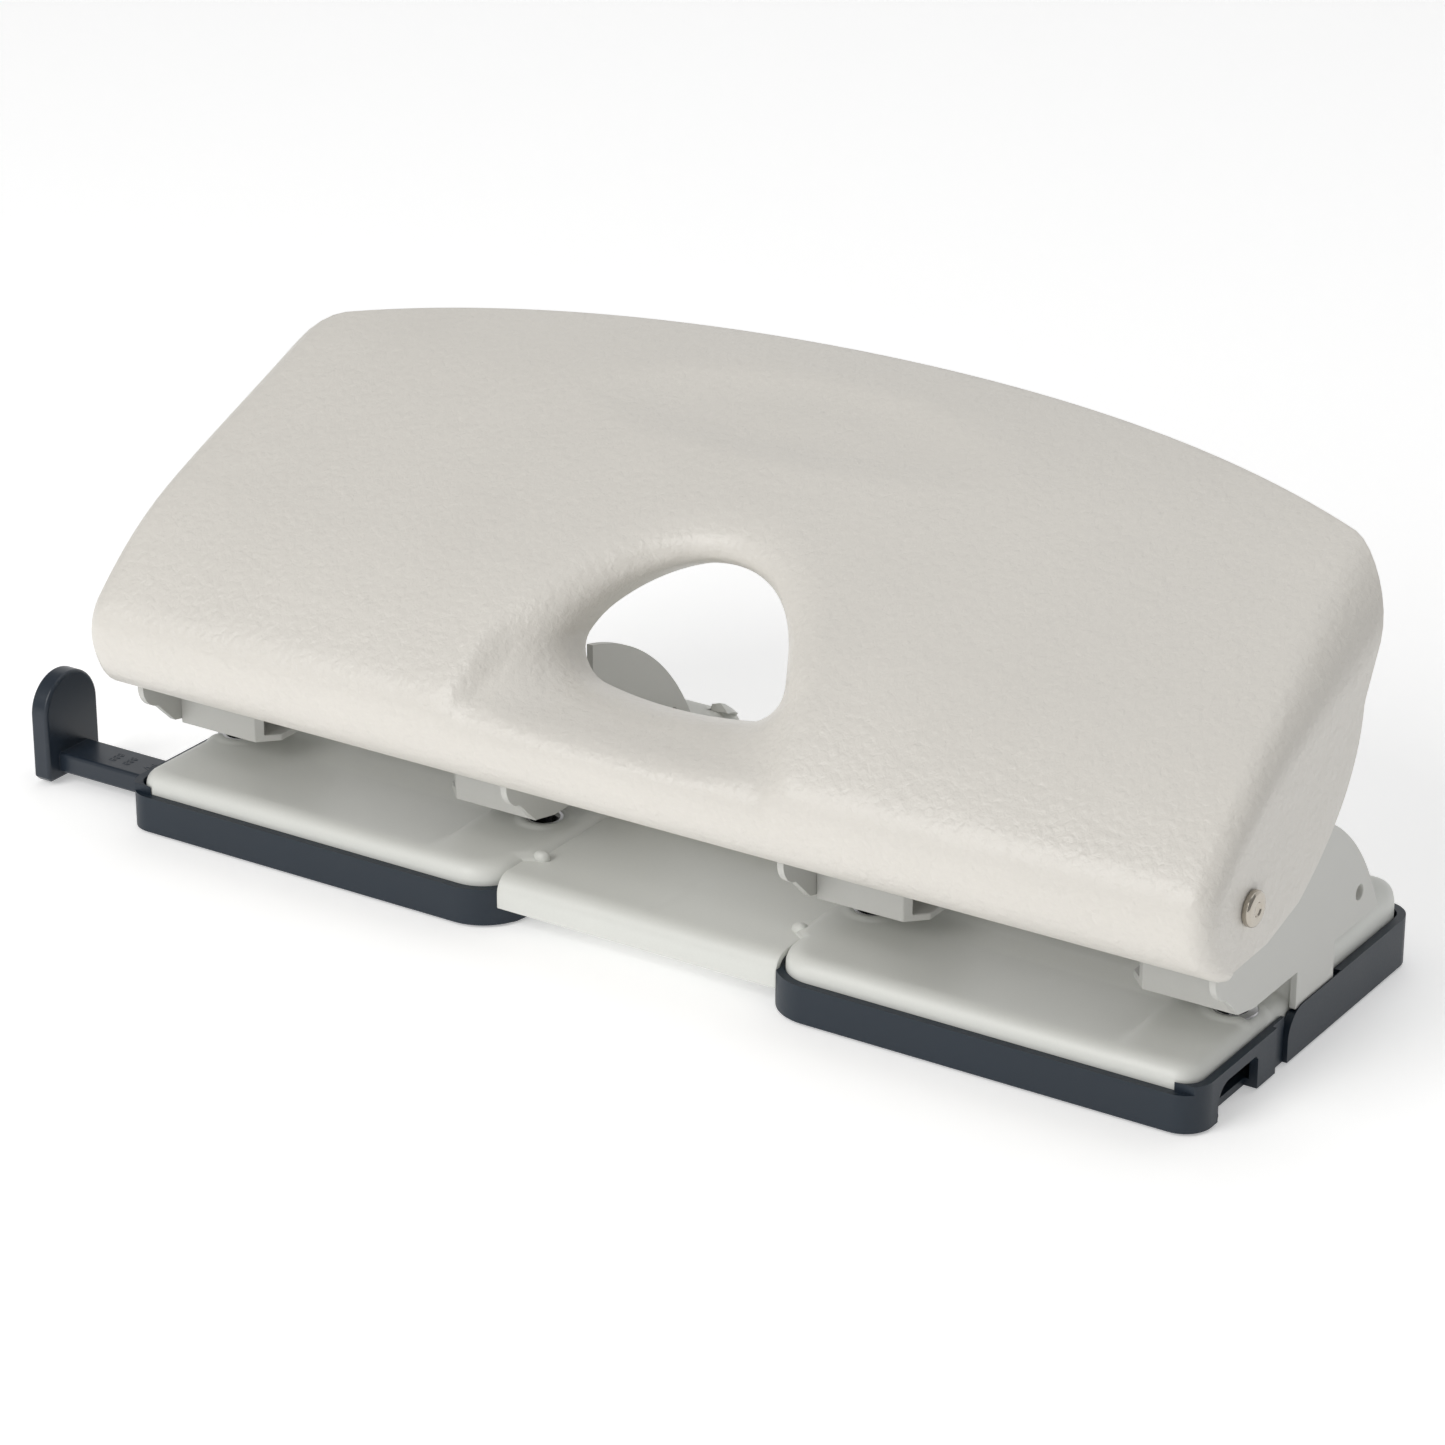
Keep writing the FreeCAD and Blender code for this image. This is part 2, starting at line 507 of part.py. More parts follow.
def guide_arch(x0, x1):
    """Opening for the paper guide in an end wall: round at the front, square at the rear."""
    y0, y1 = GUIDE_Y - ARCH_FRONT, GUIDE_Y + ARCH_REAR
    r = ARCH_R
    k = 1 - math.sqrt(0.5)
    steps = [(y0, 0.0), (y0, ARCH_TOP - r), ((y0 + r * k, ARCH_TOP - r * k), (y0 + r, ARCH_TOP)),
             (y1 - 1, ARCH_TOP), (y1, ARCH_TOP - 1), (y1, 0.0)]
    return side_prism(steps, x0, x1)


def hinge_y():
    """The door's hinge axis runs this far back, just inside the door hole."""
    return DOOR_REAR_Y - DOOR_BARREL_R - DOOR_PLAY


def chip_door():
    """The right-hand door in the tray's floor, with a barrel round its hinge rod."""
    _, _, door_x0, door_x1 = tray_ends()
    x0, x1 = door_x0 + DOOR_PLAY, door_x1 - DOOR_PLAY
    top = TRAY_FLOOR_Z + DOOR_THICK
    panel = box(x0, x1, DOOR_FRONT_Y + DOOR_PLAY, hinge_y() - DOOR_BARREL_R - DOOR_PLAY, TRAY_FLOOR_Z, top)
    tongue_x0, tongue_x1 = door_x0 + DOOR_LUG + DOOR_PLAY, door_x1 - DOOR_LUG - DOOR_PLAY
    tongue = box(tongue_x0, tongue_x1, hinge_y() - DOOR_BARREL_R - 2, hinge_y(), top - DOOR_THICK / 2,
                 top + DOOR_THICK / 2)
    barrel = rod(tongue_x0, hinge_y(), DOOR_AXIS_Z, V(1, 0, 0), tongue_x1 - tongue_x0, DOOR_BARREL_R)
    rib = box(x0 + 4, x1 - 4, DOOR_FRONT_Y + 3, DOOR_FRONT_Y + 3 + DOOR_THICK, top - 0.2, top + 1.6)
    whole = joined([panel, tongue, barrel, rib])
    return whole.cut(rod(x0 - 1, hinge_y(), DOOR_AXIS_Z, V(1, 0, 0), x1 - x0 + 2,
                         DOOR_PIN_R + RUNNING_GAP))


def door_rod():
    """Steel rod that the right-hand door turns on."""
    _, _, door_x0, door_x1 = tray_ends()
    return rod(door_x0 - 4, hinge_y(), DOOR_AXIS_Z, V(1, 0, 0), door_x1 - door_x0 + 8, DOOR_PIN_R)


def guide_rails():
    """Two rails on the left tray's floor that keep the paper guide straight."""
    z0 = TRAY_FLOOR_Z + TRAY_FLOOR - 0.1
    z1 = FLANGE_BOTTOM - PLATE_GAP
    x0 = -BASE_HALF + TRAY_WALL - 0.1
    half = GUIDE_WIDTH / 2 + GUIDE_PLAY
    rails = []
    for y0 in (GUIDE_Y - half - GUIDE_RAIL, GUIDE_Y + half):
        rails.append(box(x0, x0 + GUIDE_RAIL_LENGTH, y0, y0 + GUIDE_RAIL, z0, z1))
    return rails


def paper_guide():
    """Sliding bar with a stop plate on its outer end."""
    y0, y1 = GUIDE_Y - GUIDE_WIDTH / 2, GUIDE_Y + GUIDE_WIDTH / 2
    z1 = GUIDE_BOTTOM + GUIDE_HEIGHT
    bar = box(GUIDE_STOP_X - 0.5, GUIDE_STOP_X + GUIDE_BAR, y0, y1, GUIDE_BOTTOM, z1)
    long_edges = [e for e in bar.Edges if e.BoundBox.XLength > GUIDE_BAR * 0.9]
    bar = bar.makeFillet(GUIDE_EDGE_R, long_edges)
    for i in range(GUIDE_NOTCHES):
        notch_x = GUIDE_STOP_X + GUIDE_BAR - 8.0 - GUIDE_NOTCH_STEP * i
        bar = bar.cut(box(notch_x, notch_x + GUIDE_NOTCH, y1 - GUIDE_EDGE_R, y1 + 1,
                          GUIDE_BOTTOM - 1, z1 + 1))
    half = GUIDE_STOP_WIDTH / 2
    mid = GUIDE_Y
    foot = GUIDE_STOP_FOOT
    top = foot + GUIDE_STOP_HEIGHT
    k = math.sqrt(0.5)
    steps = [(mid - half + 1, foot), (mid + half - 1, foot), (mid + half, foot + 1), (mid + half, top - half),
             ((mid + half * k, top - half + half * k), (mid, top)),
             ((mid - half * k, top - half + half * k), (mid - half, top - half)), (mid - half, foot + 1)]
    stop = side_prism(steps, GUIDE_STOP_X - GUIDE_STOP_THICK, GUIDE_STOP_X)
    rim = [e for e in stop.Edges if e.BoundBox.XLength < 1e-6]
    return joined([stop.makeFillet(GUIDE_EDGE_R, rim), bar])


def tray_feet(side):
    """Rubber discs under the tray, one at each corner."""
    x0, x1, _, _ = tray_ends()
    y = HALF_DEPTH - FOOT_INSET_Y
    places = [(x, s * y) for x in (x0 + FOOT_INSET_X, x1 - FOOT_INSET_X) for s in (-1, 1)]
    return Part.makeCompound([rod(side * x, y_at, 0, V(0, 0, 1), TRAY_FLOOR_Z, FOOT_R)
                              for x, y_at in places])


# ---------------------------------------------------------------- lever cover

def arc_points(start, heading, arcs, inset):
    """Runs along arcs that all turn clockwise; returns (through, to) pairs drawn in by inset."""
    y, z = start
    angle = heading
    pairs = []
    for radius, turn in arcs:
        cy = y + radius * math.sin(math.radians(angle))
        cz = z - radius * math.cos(math.radians(angle))
        out = []
        for share in (0.5, 1.0):
            a = math.radians(angle - turn * share)
            out.append((cy - (radius - inset) * math.sin(a), cz + (radius - inset) * math.cos(a)))
        angle -= turn
        end = math.radians(angle)
        y, z = cy - radius * math.sin(end), cz + radius * math.cos(end)
        pairs.append(tuple(out))
    return pairs, angle


def cover_front(inset):
    """Outline of the front face from the lip to the rear edge: start corner and arcs."""
    ny, nz = COVER_NOSE
    cy = ny + COVER_LOWER_R
    turn = math.radians(COVER_LOWER_TURN)
    lip = (cy - COVER_LOWER_R * math.cos(turn), nz - COVER_LOWER_R * math.sin(turn))
    start = (cy - (COVER_LOWER_R - inset) * math.cos(turn), nz - (COVER_LOWER_R - inset) * math.sin(turn))
    arcs = ((COVER_LOWER_R, COVER_LOWER_TURN),) + COVER_FRONT_ARCS
    pairs, angle = arc_points(lip, 90.0 + COVER_LOWER_TURN, arcs, inset)
    return start, pairs, angle


def cover_body(inset, half):
    """Everything behind the front face drawn in by inset, between X = +-half, with rounded corners."""
    start, pairs, angle = cover_front(inset)
    run = 60.0
    first = math.radians(90.0 + COVER_LOWER_TURN)
    last = math.radians(angle)
    below = (start[0] - run * math.cos(first), start[1] - run * math.sin(first))
    end = pairs[-1][1]
    above = (end[0] + run * math.cos(last), end[1] + run * math.sin(last))
    solid = side_prism([below, start] + pairs + [above], -half, half)
    middles = [through for through, _ in pairs]
    middles += [((below[0] + start[0]) / 2, (below[1] + start[1]) / 2),
                ((end[0] + above[0]) / 2, (end[1] + above[1]) / 2)]
    wanted = []
    for edge in solid.Edges:
        if edge.BoundBox.XLength > 1e-4:
            continue
        middle = edge.valueAt((edge.FirstParameter + edge.LastParameter) / 2)
        if any(math.dist((middle.y, middle.z), place) < 0.5 for place in middles):
            wanted.append(edge)
    return solid.makeFillet(COVER_CORNER_R - inset, wanted)


def cover_side_outline():
    """Prism of the side walls' outline, open wide at the front and the top."""
    start, pairs, _ = cover_front(0.0)
    end_y, end_z = pairs[-1][1]
    turn = math.radians(COVER_LOWER_TURN)
    lip_y, lip_z = 1.5 * SHEET * math.cos(turn), 1.5 * SHEET * math.sin(turn)
    steps = [start, (start[0] - 30.0, start[1]), (start[0] - 30.0, end_z + 20.0), (end_y, end_z + 20.0),
             (end_y, end_z - COVER_REAR_DROP), *COVER_SIDE_REAR, COVER_SIDE_ARC, COVER_SIDE_LOW,
             (start[0] + lip_y, start[1] + lip_z)]
    return side_prism(steps, -COVER_HALF - 1, COVER_HALF + 1)


def hand_prism(half):
    """The hand hole's rounded outline carried through the cover along its own slope."""
    grow = half - HAND_HALF
    r = HAND_CORNER_R + grow
    low = HAND_FACE_Z - grow
    mid = HAND_FACE_Z + HAND_CORNER_R + HAND_FLAT
    k = 1 - math.sqrt(0.5)
    steps = [
        (-half + r, low), (half - r, low), ((half - r * k, low + r * k), (half, low + r)), (half, mid),
        ((0.0, mid + half * HAND_CROWN), (-half, mid)), (-half, low + r),
        ((-half + r * k, low + r * k), (-half + r, low)),
    ]
    slope = math.radians(HAND_SLOPE)
    depth = 120.0
    face = face_from(outline_edges(steps, lambda p: V(p[0], HAND_FACE_Y, p[1])))
    return face.extrude(V(0, depth, -depth * math.tan(slope)))


def lever_cover():
    """Pressed cover: front face, side walls, arched rear edge and a rimmed hand hole."""
    outer = cover_body(0.0, COVER_HALF).common(cover_side_outline())
    inner = cover_body(SHEET, COVER_INNER_X)
    rear_y = cover_front(0.0)[1][-1][1][0]
    arch = rod(0, rear_y - COVER_ARCH_R, -50, V(0, 0, 1), 250, COVER_ARCH_R)
    shell = outer.cut(inner).common(arch)
    hole = hand_prism(HAND_HALF)
    slope = math.radians(HAND_SLOPE)
    shift = V(0, HAND_RIM * math.cos(slope), -HAND_RIM * math.sin(slope))
    behind = cover_body(SHEET, COVER_INNER_X)
    behind.translate(shift)
    rim = hand_prism(HAND_HALF + SHEET).cut(hole).common(inner).cut(behind)
    rim = rim.common(box(-60, 60, -60, 40, 0, 120))
    shell = joined([shell.cut(hole), rim])
    for s in (-1, 1):
        hole_at = rod(s * (COVER_INNER_X - 2), PIVOT_Y, PIVOT_Z, V(s, 0, 0), 8, PIVOT_R + RUNNING_GAP)
        shell = shell.cut(hole_at)
    return shell


def press_channel():
    """The right-hand channel behind the cover's face, whose lip pushes the punch heads."""
    x0 = EAR_INNER_X + SHEET + CHANNEL_END_GAP
    x1 = EAR_OUTER_X - CHANNEL_END_GAP
    inner = cover_body(SHEET, COVER_INNER_X)
    heel_y, heel_z = CHANNEL_HEEL
    length = math.dist(CHANNEL_HEEL, (LIP_Y, LIP_Z))
    half_y = (heel_z - LIP_Z) / length * CHANNEL_SHEET / 2
    half_z = (LIP_Y - heel_y) / length * CHANNEL_SHEET / 2
    web = side_prism([(LIP_Y - half_y, LIP_Z - half_z), (LIP_Y + half_y, LIP_Z + half_z),
                      (heel_y + half_y, heel_z + half_z), (heel_y - half_y, heel_z - half_z)], x0, x1)
    lip = rod(x0, LIP_Y, LIP_Z, V(1, 0, 0), x1 - x0, LIP_R)
    behind = cover_body(SHEET, COVER_INNER_X)
    behind.translate(V(0, CHANNEL_SHEET * 0.56, -CHANNEL_SHEET * 0.83))
    y0, y1 = CHANNEL_FLANGE
    flange = inner.cut(behind).common(box(x0, x1, y0, y1, LIP_Z, heel_z + 20))
    return joined([web.common(inner), lip, flange])


# ---------------------------------------------------------------- pins and punches

def pivot_pin():
    """Headed pin through the cover's side wall and both ears, on the right-hand side."""
    inner_x = EAR_INNER_X - PIN_INNER_OVERHANG
    outer_x = COVER_HALF + 0.2
    along = V(1, 0, 0)
    groove_x = EAR_INNER_X - E_CLIP
    groove_r = PIVOT_R - PIN_GROOVE
    inner_end = rod(inner_x, PIVOT_Y, PIVOT_Z, along, groove_x - inner_x, PIVOT_R)
    neck = rod(groove_x, PIVOT_Y, PIVOT_Z, along, E_CLIP, groove_r)
    shank = rod(EAR_INNER_X, PIVOT_Y, PIVOT_Z, along, outer_x - EAR_INNER_X, PIVOT_R)
    sphere_r = (PIN_HEAD_R ** 2 + PIN_HEAD ** 2) / (2 * PIN_HEAD)
    head = Part.makeSphere(sphere_r, V(outer_x + PIN_HEAD - sphere_r, PIVOT_Y, PIVOT_Z))
    head = head.common(rod(outer_x, PIVOT_Y, PIVOT_Z, along, PIN_HEAD, PIN_HEAD_R))
    return joined([inner_end, neck, shank, head])


def pivot_clip(side):
    """Spring clip in the pin's groove, against the inner ear."""
    x = side * (EAR_INNER_X - E_CLIP)
    disc = rod(x, PIVOT_Y, PIVOT_Z, V(side, 0, 0), E_CLIP, E_CLIP_R)
    core = rod(x, PIVOT_Y, PIVOT_Z, V(side, 0, 0), E_CLIP, PIVOT_R - PIN_GROOVE)
    mouth = box(x, x + side * E_CLIP, PIVOT_Y - E_CLIP_MOUTH, PIVOT_Y + E_CLIP_MOUTH,
                PIVOT_Z - E_CLIP_R - 1, PIVOT_Z)
    return disc.cut(core).cut(mouth)


def pivot_washer(side):
    """Spacer on the pin between the outer ear and the cover's side wall."""
    x = EAR_OUTER_X + SHEET
    ring = rod(side * x, PIVOT_Y, PIVOT_Z, V(side, 0, 0), COVER_SIDE_GAP - 0.3, PIVOT_R + WASHER_OVERHANG)
    return ring.cut(rod(side * (x - 1), PIVOT_Y, PIVOT_Z, V(side, 0, 0), COVER_SIDE_GAP + 2, PIVOT_R))


def head_top():
    """Top of a punch head at rest, just under the lip."""
    return LIP_Z - LIP_R - HEAD_GAP


def clip_z():
    """Underside of the clip that the spring pushes up against."""
    return head_top() - HEAD_HEIGHT - CLIP_THICK


def punch(x):
    """Hardened punch with a head and a slightly hollow cutting end."""
    tip = SLOT_TOP + TIP_INSET
    shank = rod(x, PUNCH_Y, tip, V(0, 0, 1), head_top() - tip - HEAD_HEIGHT / 2, PUNCH_R)
    head = rod(x, PUNCH_Y, head_top() - HEAD_HEIGHT, V(0, 0, 1), HEAD_HEIGHT, HEAD_R)
    head = head.makeChamfer(0.4, [e for e in head.Edges if e.BoundBox.ZMin > head_top() - 0.01])
    whole = joined([shank, head])
    hollow_r = 9.0
    return whole.cut(rod(x - 10, PUNCH_Y, tip - hollow_r + 0.6, V(1, 0, 0), 20, hollow_r))


def punch_clip(x):
    """Cupped washer under the punch head that holds the top of the spring."""
    ring = rod(x, PUNCH_Y, clip_z(), V(0, 0, 1), CLIP_THICK, CLIP_R)
    skirt = rod(x, PUNCH_Y, clip_z() - 1.0, V(0, 0, 1), 1.0, CLIP_R + 0.3)
    skirt = skirt.cut(rod(x, PUNCH_Y, clip_z() - 1.0, V(0, 0, 1), 1.0, CLIP_R - 0.3))
    return joined([ring, skirt]).cut(rod(x, PUNCH_Y, 0, V(0, 0, 1), 60, PUNCH_R))


def punch_spring(x):
    """Return spring, drawn as a sleeve of its own wire thickness between guide and clip."""
    low = UPPER_GUIDE_Z + SHEET
    inner_r = PUNCH_R + SPRING_CLEARANCE
    sleeve = rod(x, PUNCH_Y, low, V(0, 0, 1), clip_z() - low, inner_r + SPRING_WIRE)
    return sleeve.cut(rod(x, PUNCH_Y, low - 1, V(0, 0, 1), 40, inner_r))


# ---------------------------------------------------------------- assembly

def build_nodes():
    """Every node of the part by name, in the working frame."""
    nodes = {}
    right_plate = base_plate()
    right_tray = chip_tray()
    nodes["bridge_plate"] = bridge_plate()
    nodes["base_plate_right"] = right_plate
    nodes["base_plate_left"] = mirrored(right_plate)
    nodes["frame_rivets"] = frame_rivets()
    nodes["chip_tray_right"] = right_tray
    nodes["chip_tray_left"] = joined([mirrored(right_tray)] + guide_rails())
    right_door, right_rod, right_channel = chip_door(), door_rod(), press_channel()
    nodes["chip_door_right"] = right_door
    nodes["chip_door_left"] = mirrored(right_door)
    nodes["door_rod_right"] = right_rod
    nodes["door_rod_left"] = mirrored(right_rod)
    nodes["paper_guide"] = paper_guide()
    nodes["lever_cover"] = lever_cover()
    nodes["press_channel_right"] = right_channel
    nodes["press_channel_left"] = mirrored(right_channel)
    right_pin = pivot_pin()
    for name, side in SIDES:
        nodes["feet_" + name] = tray_feet(side)
        nodes["pivot_pin_" + name] = right_pin if side > 0 else mirrored(right_pin)
        nodes["pivot_clip_" + name] = pivot_clip(side)
        nodes["pivot_washer_" + name] = pivot_washer(side)
        outer_x, inner_x = side * (EAR_OUTER_X + SHEET), side * EAR_INNER_X
        nodes["ear_outer_" + name] = ear(outer_x, -side, TRAY_LEG_BOTTOM)
        nodes["ear_inner_" + name] = ear(inner_x, side, REAR_TOP)
    for i, x in enumerate(PUNCH_X, start=1):
        side = -1 if x < 0 else 1
        if i in (1, HOLE_COUNT):
            face_x, inward = side * EAR_OUTER_X, -side
        else:
            face_x, inward = side * (EAR_INNER_X + SHEET), side
        nodes[f"punch_guide_{i}"] = punch_guide(x, face_x, inward)
        nodes[f"die_bush_{i}"] = die_bush(x)
        nodes[f"punch_{i}"] = punch(x)
        nodes[f"punch_clip_{i}"] = punch_clip(x)
        nodes[f"punch_spring_{i}"] = punch_spring(x)
    return nodes


def origin_of_part():
    """Middle of the overall box, at the table, in the working frame."""
    left = GUIDE_STOP_X - GUIDE_STOP_THICK
    right = COVER_HALF + 0.2 + PIN_HEAD
    front = COVER_NOSE[0]
    rear = max(cover_front(0.0)[1][-1][1][0], HALF_DEPTH)
    return V((left + right) / 2, (front + rear) / 2, 0)


def export(nodes):
    """Writes one STEP per node, with the origin moved to the part's own."""
    origin = origin_of_part()
    for name, shape in nodes.items():
        moved = shape.copy()
        moved.translate(V(-origin.x, -origin.y, -origin.z))
        moved.exportStep(f"parts/{name}.step")
    print("nodes:", len(nodes), "origin in the working frame:", tuple(round(v, 4) for v in origin))


export(build_nodes())
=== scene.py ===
import logging
import math
from dataclasses import dataclass
from enum import Enum
from typing import Callable, Dict, List, Sequence, Tuple

import bmesh
import bpy
import numpy as np
from mathutils import Matrix, Vector


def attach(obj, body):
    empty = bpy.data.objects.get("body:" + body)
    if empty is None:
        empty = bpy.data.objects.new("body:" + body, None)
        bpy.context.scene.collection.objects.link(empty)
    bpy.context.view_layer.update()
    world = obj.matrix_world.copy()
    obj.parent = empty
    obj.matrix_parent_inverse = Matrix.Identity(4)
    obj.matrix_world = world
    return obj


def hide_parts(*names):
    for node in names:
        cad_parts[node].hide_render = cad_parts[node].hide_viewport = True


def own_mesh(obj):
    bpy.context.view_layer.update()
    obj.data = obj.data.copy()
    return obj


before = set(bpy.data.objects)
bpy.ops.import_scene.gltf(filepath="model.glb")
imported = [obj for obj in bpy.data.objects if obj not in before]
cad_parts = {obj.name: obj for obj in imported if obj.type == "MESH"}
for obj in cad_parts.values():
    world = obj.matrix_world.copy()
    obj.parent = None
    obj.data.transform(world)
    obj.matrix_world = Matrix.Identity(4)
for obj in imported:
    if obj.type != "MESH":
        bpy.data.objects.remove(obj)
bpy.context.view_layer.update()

logging.basicConfig(level=logging.INFO, format="%(levelname)s %(message)s")
LOG = logging.getLogger("hole_punch")

MM = 0.001
SIDES = ("left", "right")
PUNCHES_X = (-120.0, -40.0, 40.0, 120.0)
PUNCHES_Y = -16.8

# The CAD works from the middle of the base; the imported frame's origin is the middle of the box.
SHIFT = Vector((13.05, 1.3867, 0.0))

Point2 = Tuple[float, float]
Loop = List[Vector]
Edge = Tuple[Point2, Point2]


def place(x: float, y: float, z: float) -> Vector:
    """Turns a point of the base's own frame, in millimetres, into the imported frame, in metres.

    Args:
        x: Along the punch.
        y: Towards the rear.
        z: Up.

    Returns:
        The point in metres.
    """
    return Vector(((x + SHIFT.x) * MM, (y + SHIFT.y) * MM, (z + SHIFT.z) * MM))


def smooth(value: float, low: float, high: float) -> float:
    """Smooth step from 0 at low to 1 at high.

    Args:
        value: Where to look.
        low: Where the step starts.
        high: Where it ends; it may be below low.

    Returns:
        A number from 0 to 1.
    """
    t = min(1.0, max(0.0, (value - low) / (high - low)))
    return t * t * (3 - 2 * t)


def lerp(a: float, b: float, t: float) -> float:
    """The value a share t of the way from a to b."""
    return a + (b - a) * t


def steps(low: float, high: float, spacing: float) -> List[float]:
    """Evenly spaced values from low to high.

    Args:
        low: First value.
        high: Last value.
        spacing: About how far apart they are.

    Returns:
        The values, both ends included.
    """
    count = max(1, round(abs(high - low) / spacing))
    return [lerp(low, high, i / count) for i in range(count + 1)]


def arc(centre: Point2, r: float, start: float, end: float, count: int) -> List[Point2]:
    """Evenly spaced points of an arc.

    Args:
        centre: Its centre.
        r: Its radius.
        start: First angle in degrees.
        end: Last angle.
        count: Steps between them.

    Returns:
        The points, both ends included.
    """
    angles = [math.radians(start + (end - start) * i / count) for i in range(count + 1)]
    return [(centre[0] + r * math.cos(a), centre[1] + r * math.sin(a)) for a in angles]


def run_of(points: np.ndarray) -> np.ndarray:
    """Length along a line of points up to each of them."""
    return np.concatenate([[0.0], np.cumsum(np.hypot(*np.diff(points, axis=0).T))])


def bisect(low: float, high: float, below: Callable[[float], bool]) -> float:
    """Last value between low and high for which a test that holds at low still holds."""
    for _ in range(40):
        middle = (low + high) / 2
        low, high = (middle, high) if below(middle) else (low, middle)
    return low


# ------------------------------------------------------------------------------ finishes


class Grain(Enum):
    """What a finish's surface is like close up."""

    WRINKLE = "wrinkle"
    SATIN = "satin"
    MOULDED = "moulded"
    GROUND = "ground"
    POLISHED = "polished"
    BACKDROP = "backdrop"


@dataclass(frozen=True)
class Finish:
    """One procedural material.

    Attributes:
        name: Name of the material.
        grain: What its surface is like close up.
        color: Linear base colour.
        roughness: Middle roughness.
        metallic: 1 for bare metal.
        bump: Height of the grain, in millimetres.
        size: Size of one cell of the grain, in millimetres.
        mottle: How far the colour varies.
        coat: Weight of a clear coat.
    """

    name: str
    grain: Grain
    color: Tuple[float, float, float]
    roughness: float
    metallic: float = 0.0
    bump: float = 0.0
    size: float = 1.0
    mottle: float = 0.03
    coat: float = 0.0


COVER_PAINT = Finish("cover_paint", Grain.WRINKLE, (0.722, 0.695, 0.645), 0.36, bump=0.16, size=1.15,
                     mottle=0.02, coat=0.10)
BASE_PAINT = Finish("base_paint", Grain.SATIN, (0.72, 0.73, 0.695), 0.38, bump=0.004, size=0.5, mottle=0.02)
# The base paint darkened by about a sixth as painted shade, for the ears and punch guides that sit in shadow
# under the cover.
SHADED_FRAME_PAINT = Finish("frame_paint", Grain.SATIN, (0.60, 0.60, 0.57), 0.40, bump=0.004, size=0.5, mottle=0.02)
CHANNEL_STEEL = Finish("channel_steel", Grain.GROUND, (0.55, 0.56, 0.57), 0.36, 1.0, 0.006, 1.2, 0.10)
PUNCH_STEEL = Finish("punch_steel", Grain.GROUND, (0.50, 0.50, 0.51), 0.24, 1.0, 0.003, 0.5, 0.06)
SPRING_STEEL = Finish("spring_steel", Grain.POLISHED, (0.50, 0.50, 0.50), 0.26, 1.0, 0.003, 0.3, 0.06)
PIN_NICKEL = Finish("pin_nickel", Grain.POLISHED, (0.50, 0.46, 0.40), 0.16, 1.0, 0.004, 0.6, 0.05)
TRAY_PLASTIC = Finish("tray_plastic", Grain.MOULDED, (0.006, 0.015, 0.027), 0.46, bump=0.010, size=0.45,
                      mottle=0.10)
GUIDE_PLASTIC = Finish("guide_plastic", Grain.MOULDED, (0.014, 0.022, 0.034), 0.30, bump=0.005, size=0.5,
                       mottle=0.10)
FOOT_RUBBER = Finish("foot_rubber", Grain.MOULDED, (0.025, 0.025, 0.025), 0.75, bump=0.02, size=0.4,
                     mottle=0.12)


class Nodes:
    """Adds and joins the nodes of one tree."""

    def __init__(self, tree: bpy.types.NodeTree) -> None:
        self.tree = tree

    def feed(self, socket: bpy.types.NodeSocket, value: object) -> None:
        """Links an output to an input, or sets the input's own value."""
        if isinstance(value, bpy.types.NodeSocket):
            self.tree.links.new(value, socket)
        else:
            socket.default_value = value

    def add(self, kind: str, inputs: Dict[object, object], output: object = 0,
            **values: object) -> bpy.types.NodeSocket:
        """Adds a node.

        Args:
            kind: Node type.
            inputs: Output or value for each input, by name or place.
            output: Name or place of the output to hand back.
            values: Properties by name.

        Returns:
            The output.
        """
        node = self.tree.nodes.new(kind)
        for key, value in values.items():
            setattr(node, key, value)
        for key, value in inputs.items():
            self.feed(node.inputs[key], value)
        return node.outputs[output]

    def math(self, operation: str, *inputs: object) -> bpy.types.NodeSocket:
        """Adds a Math node on outputs or numbers."""
        return self.add("ShaderNodeMath", dict(enumerate(inputs)), operation=operation)

    def noise(self, source: bpy.types.NodeSocket, cells: float, detail: float, rough: float = 0.5,
              output: str = "Fac") -> bpy.types.NodeSocket:
        """Adds a noise texture with that many cells in a metre."""
        return self.add("ShaderNodeTexNoise", {"Scale": cells, "Detail": detail, "Roughness": rough,
                                               "Vector": source}, output)


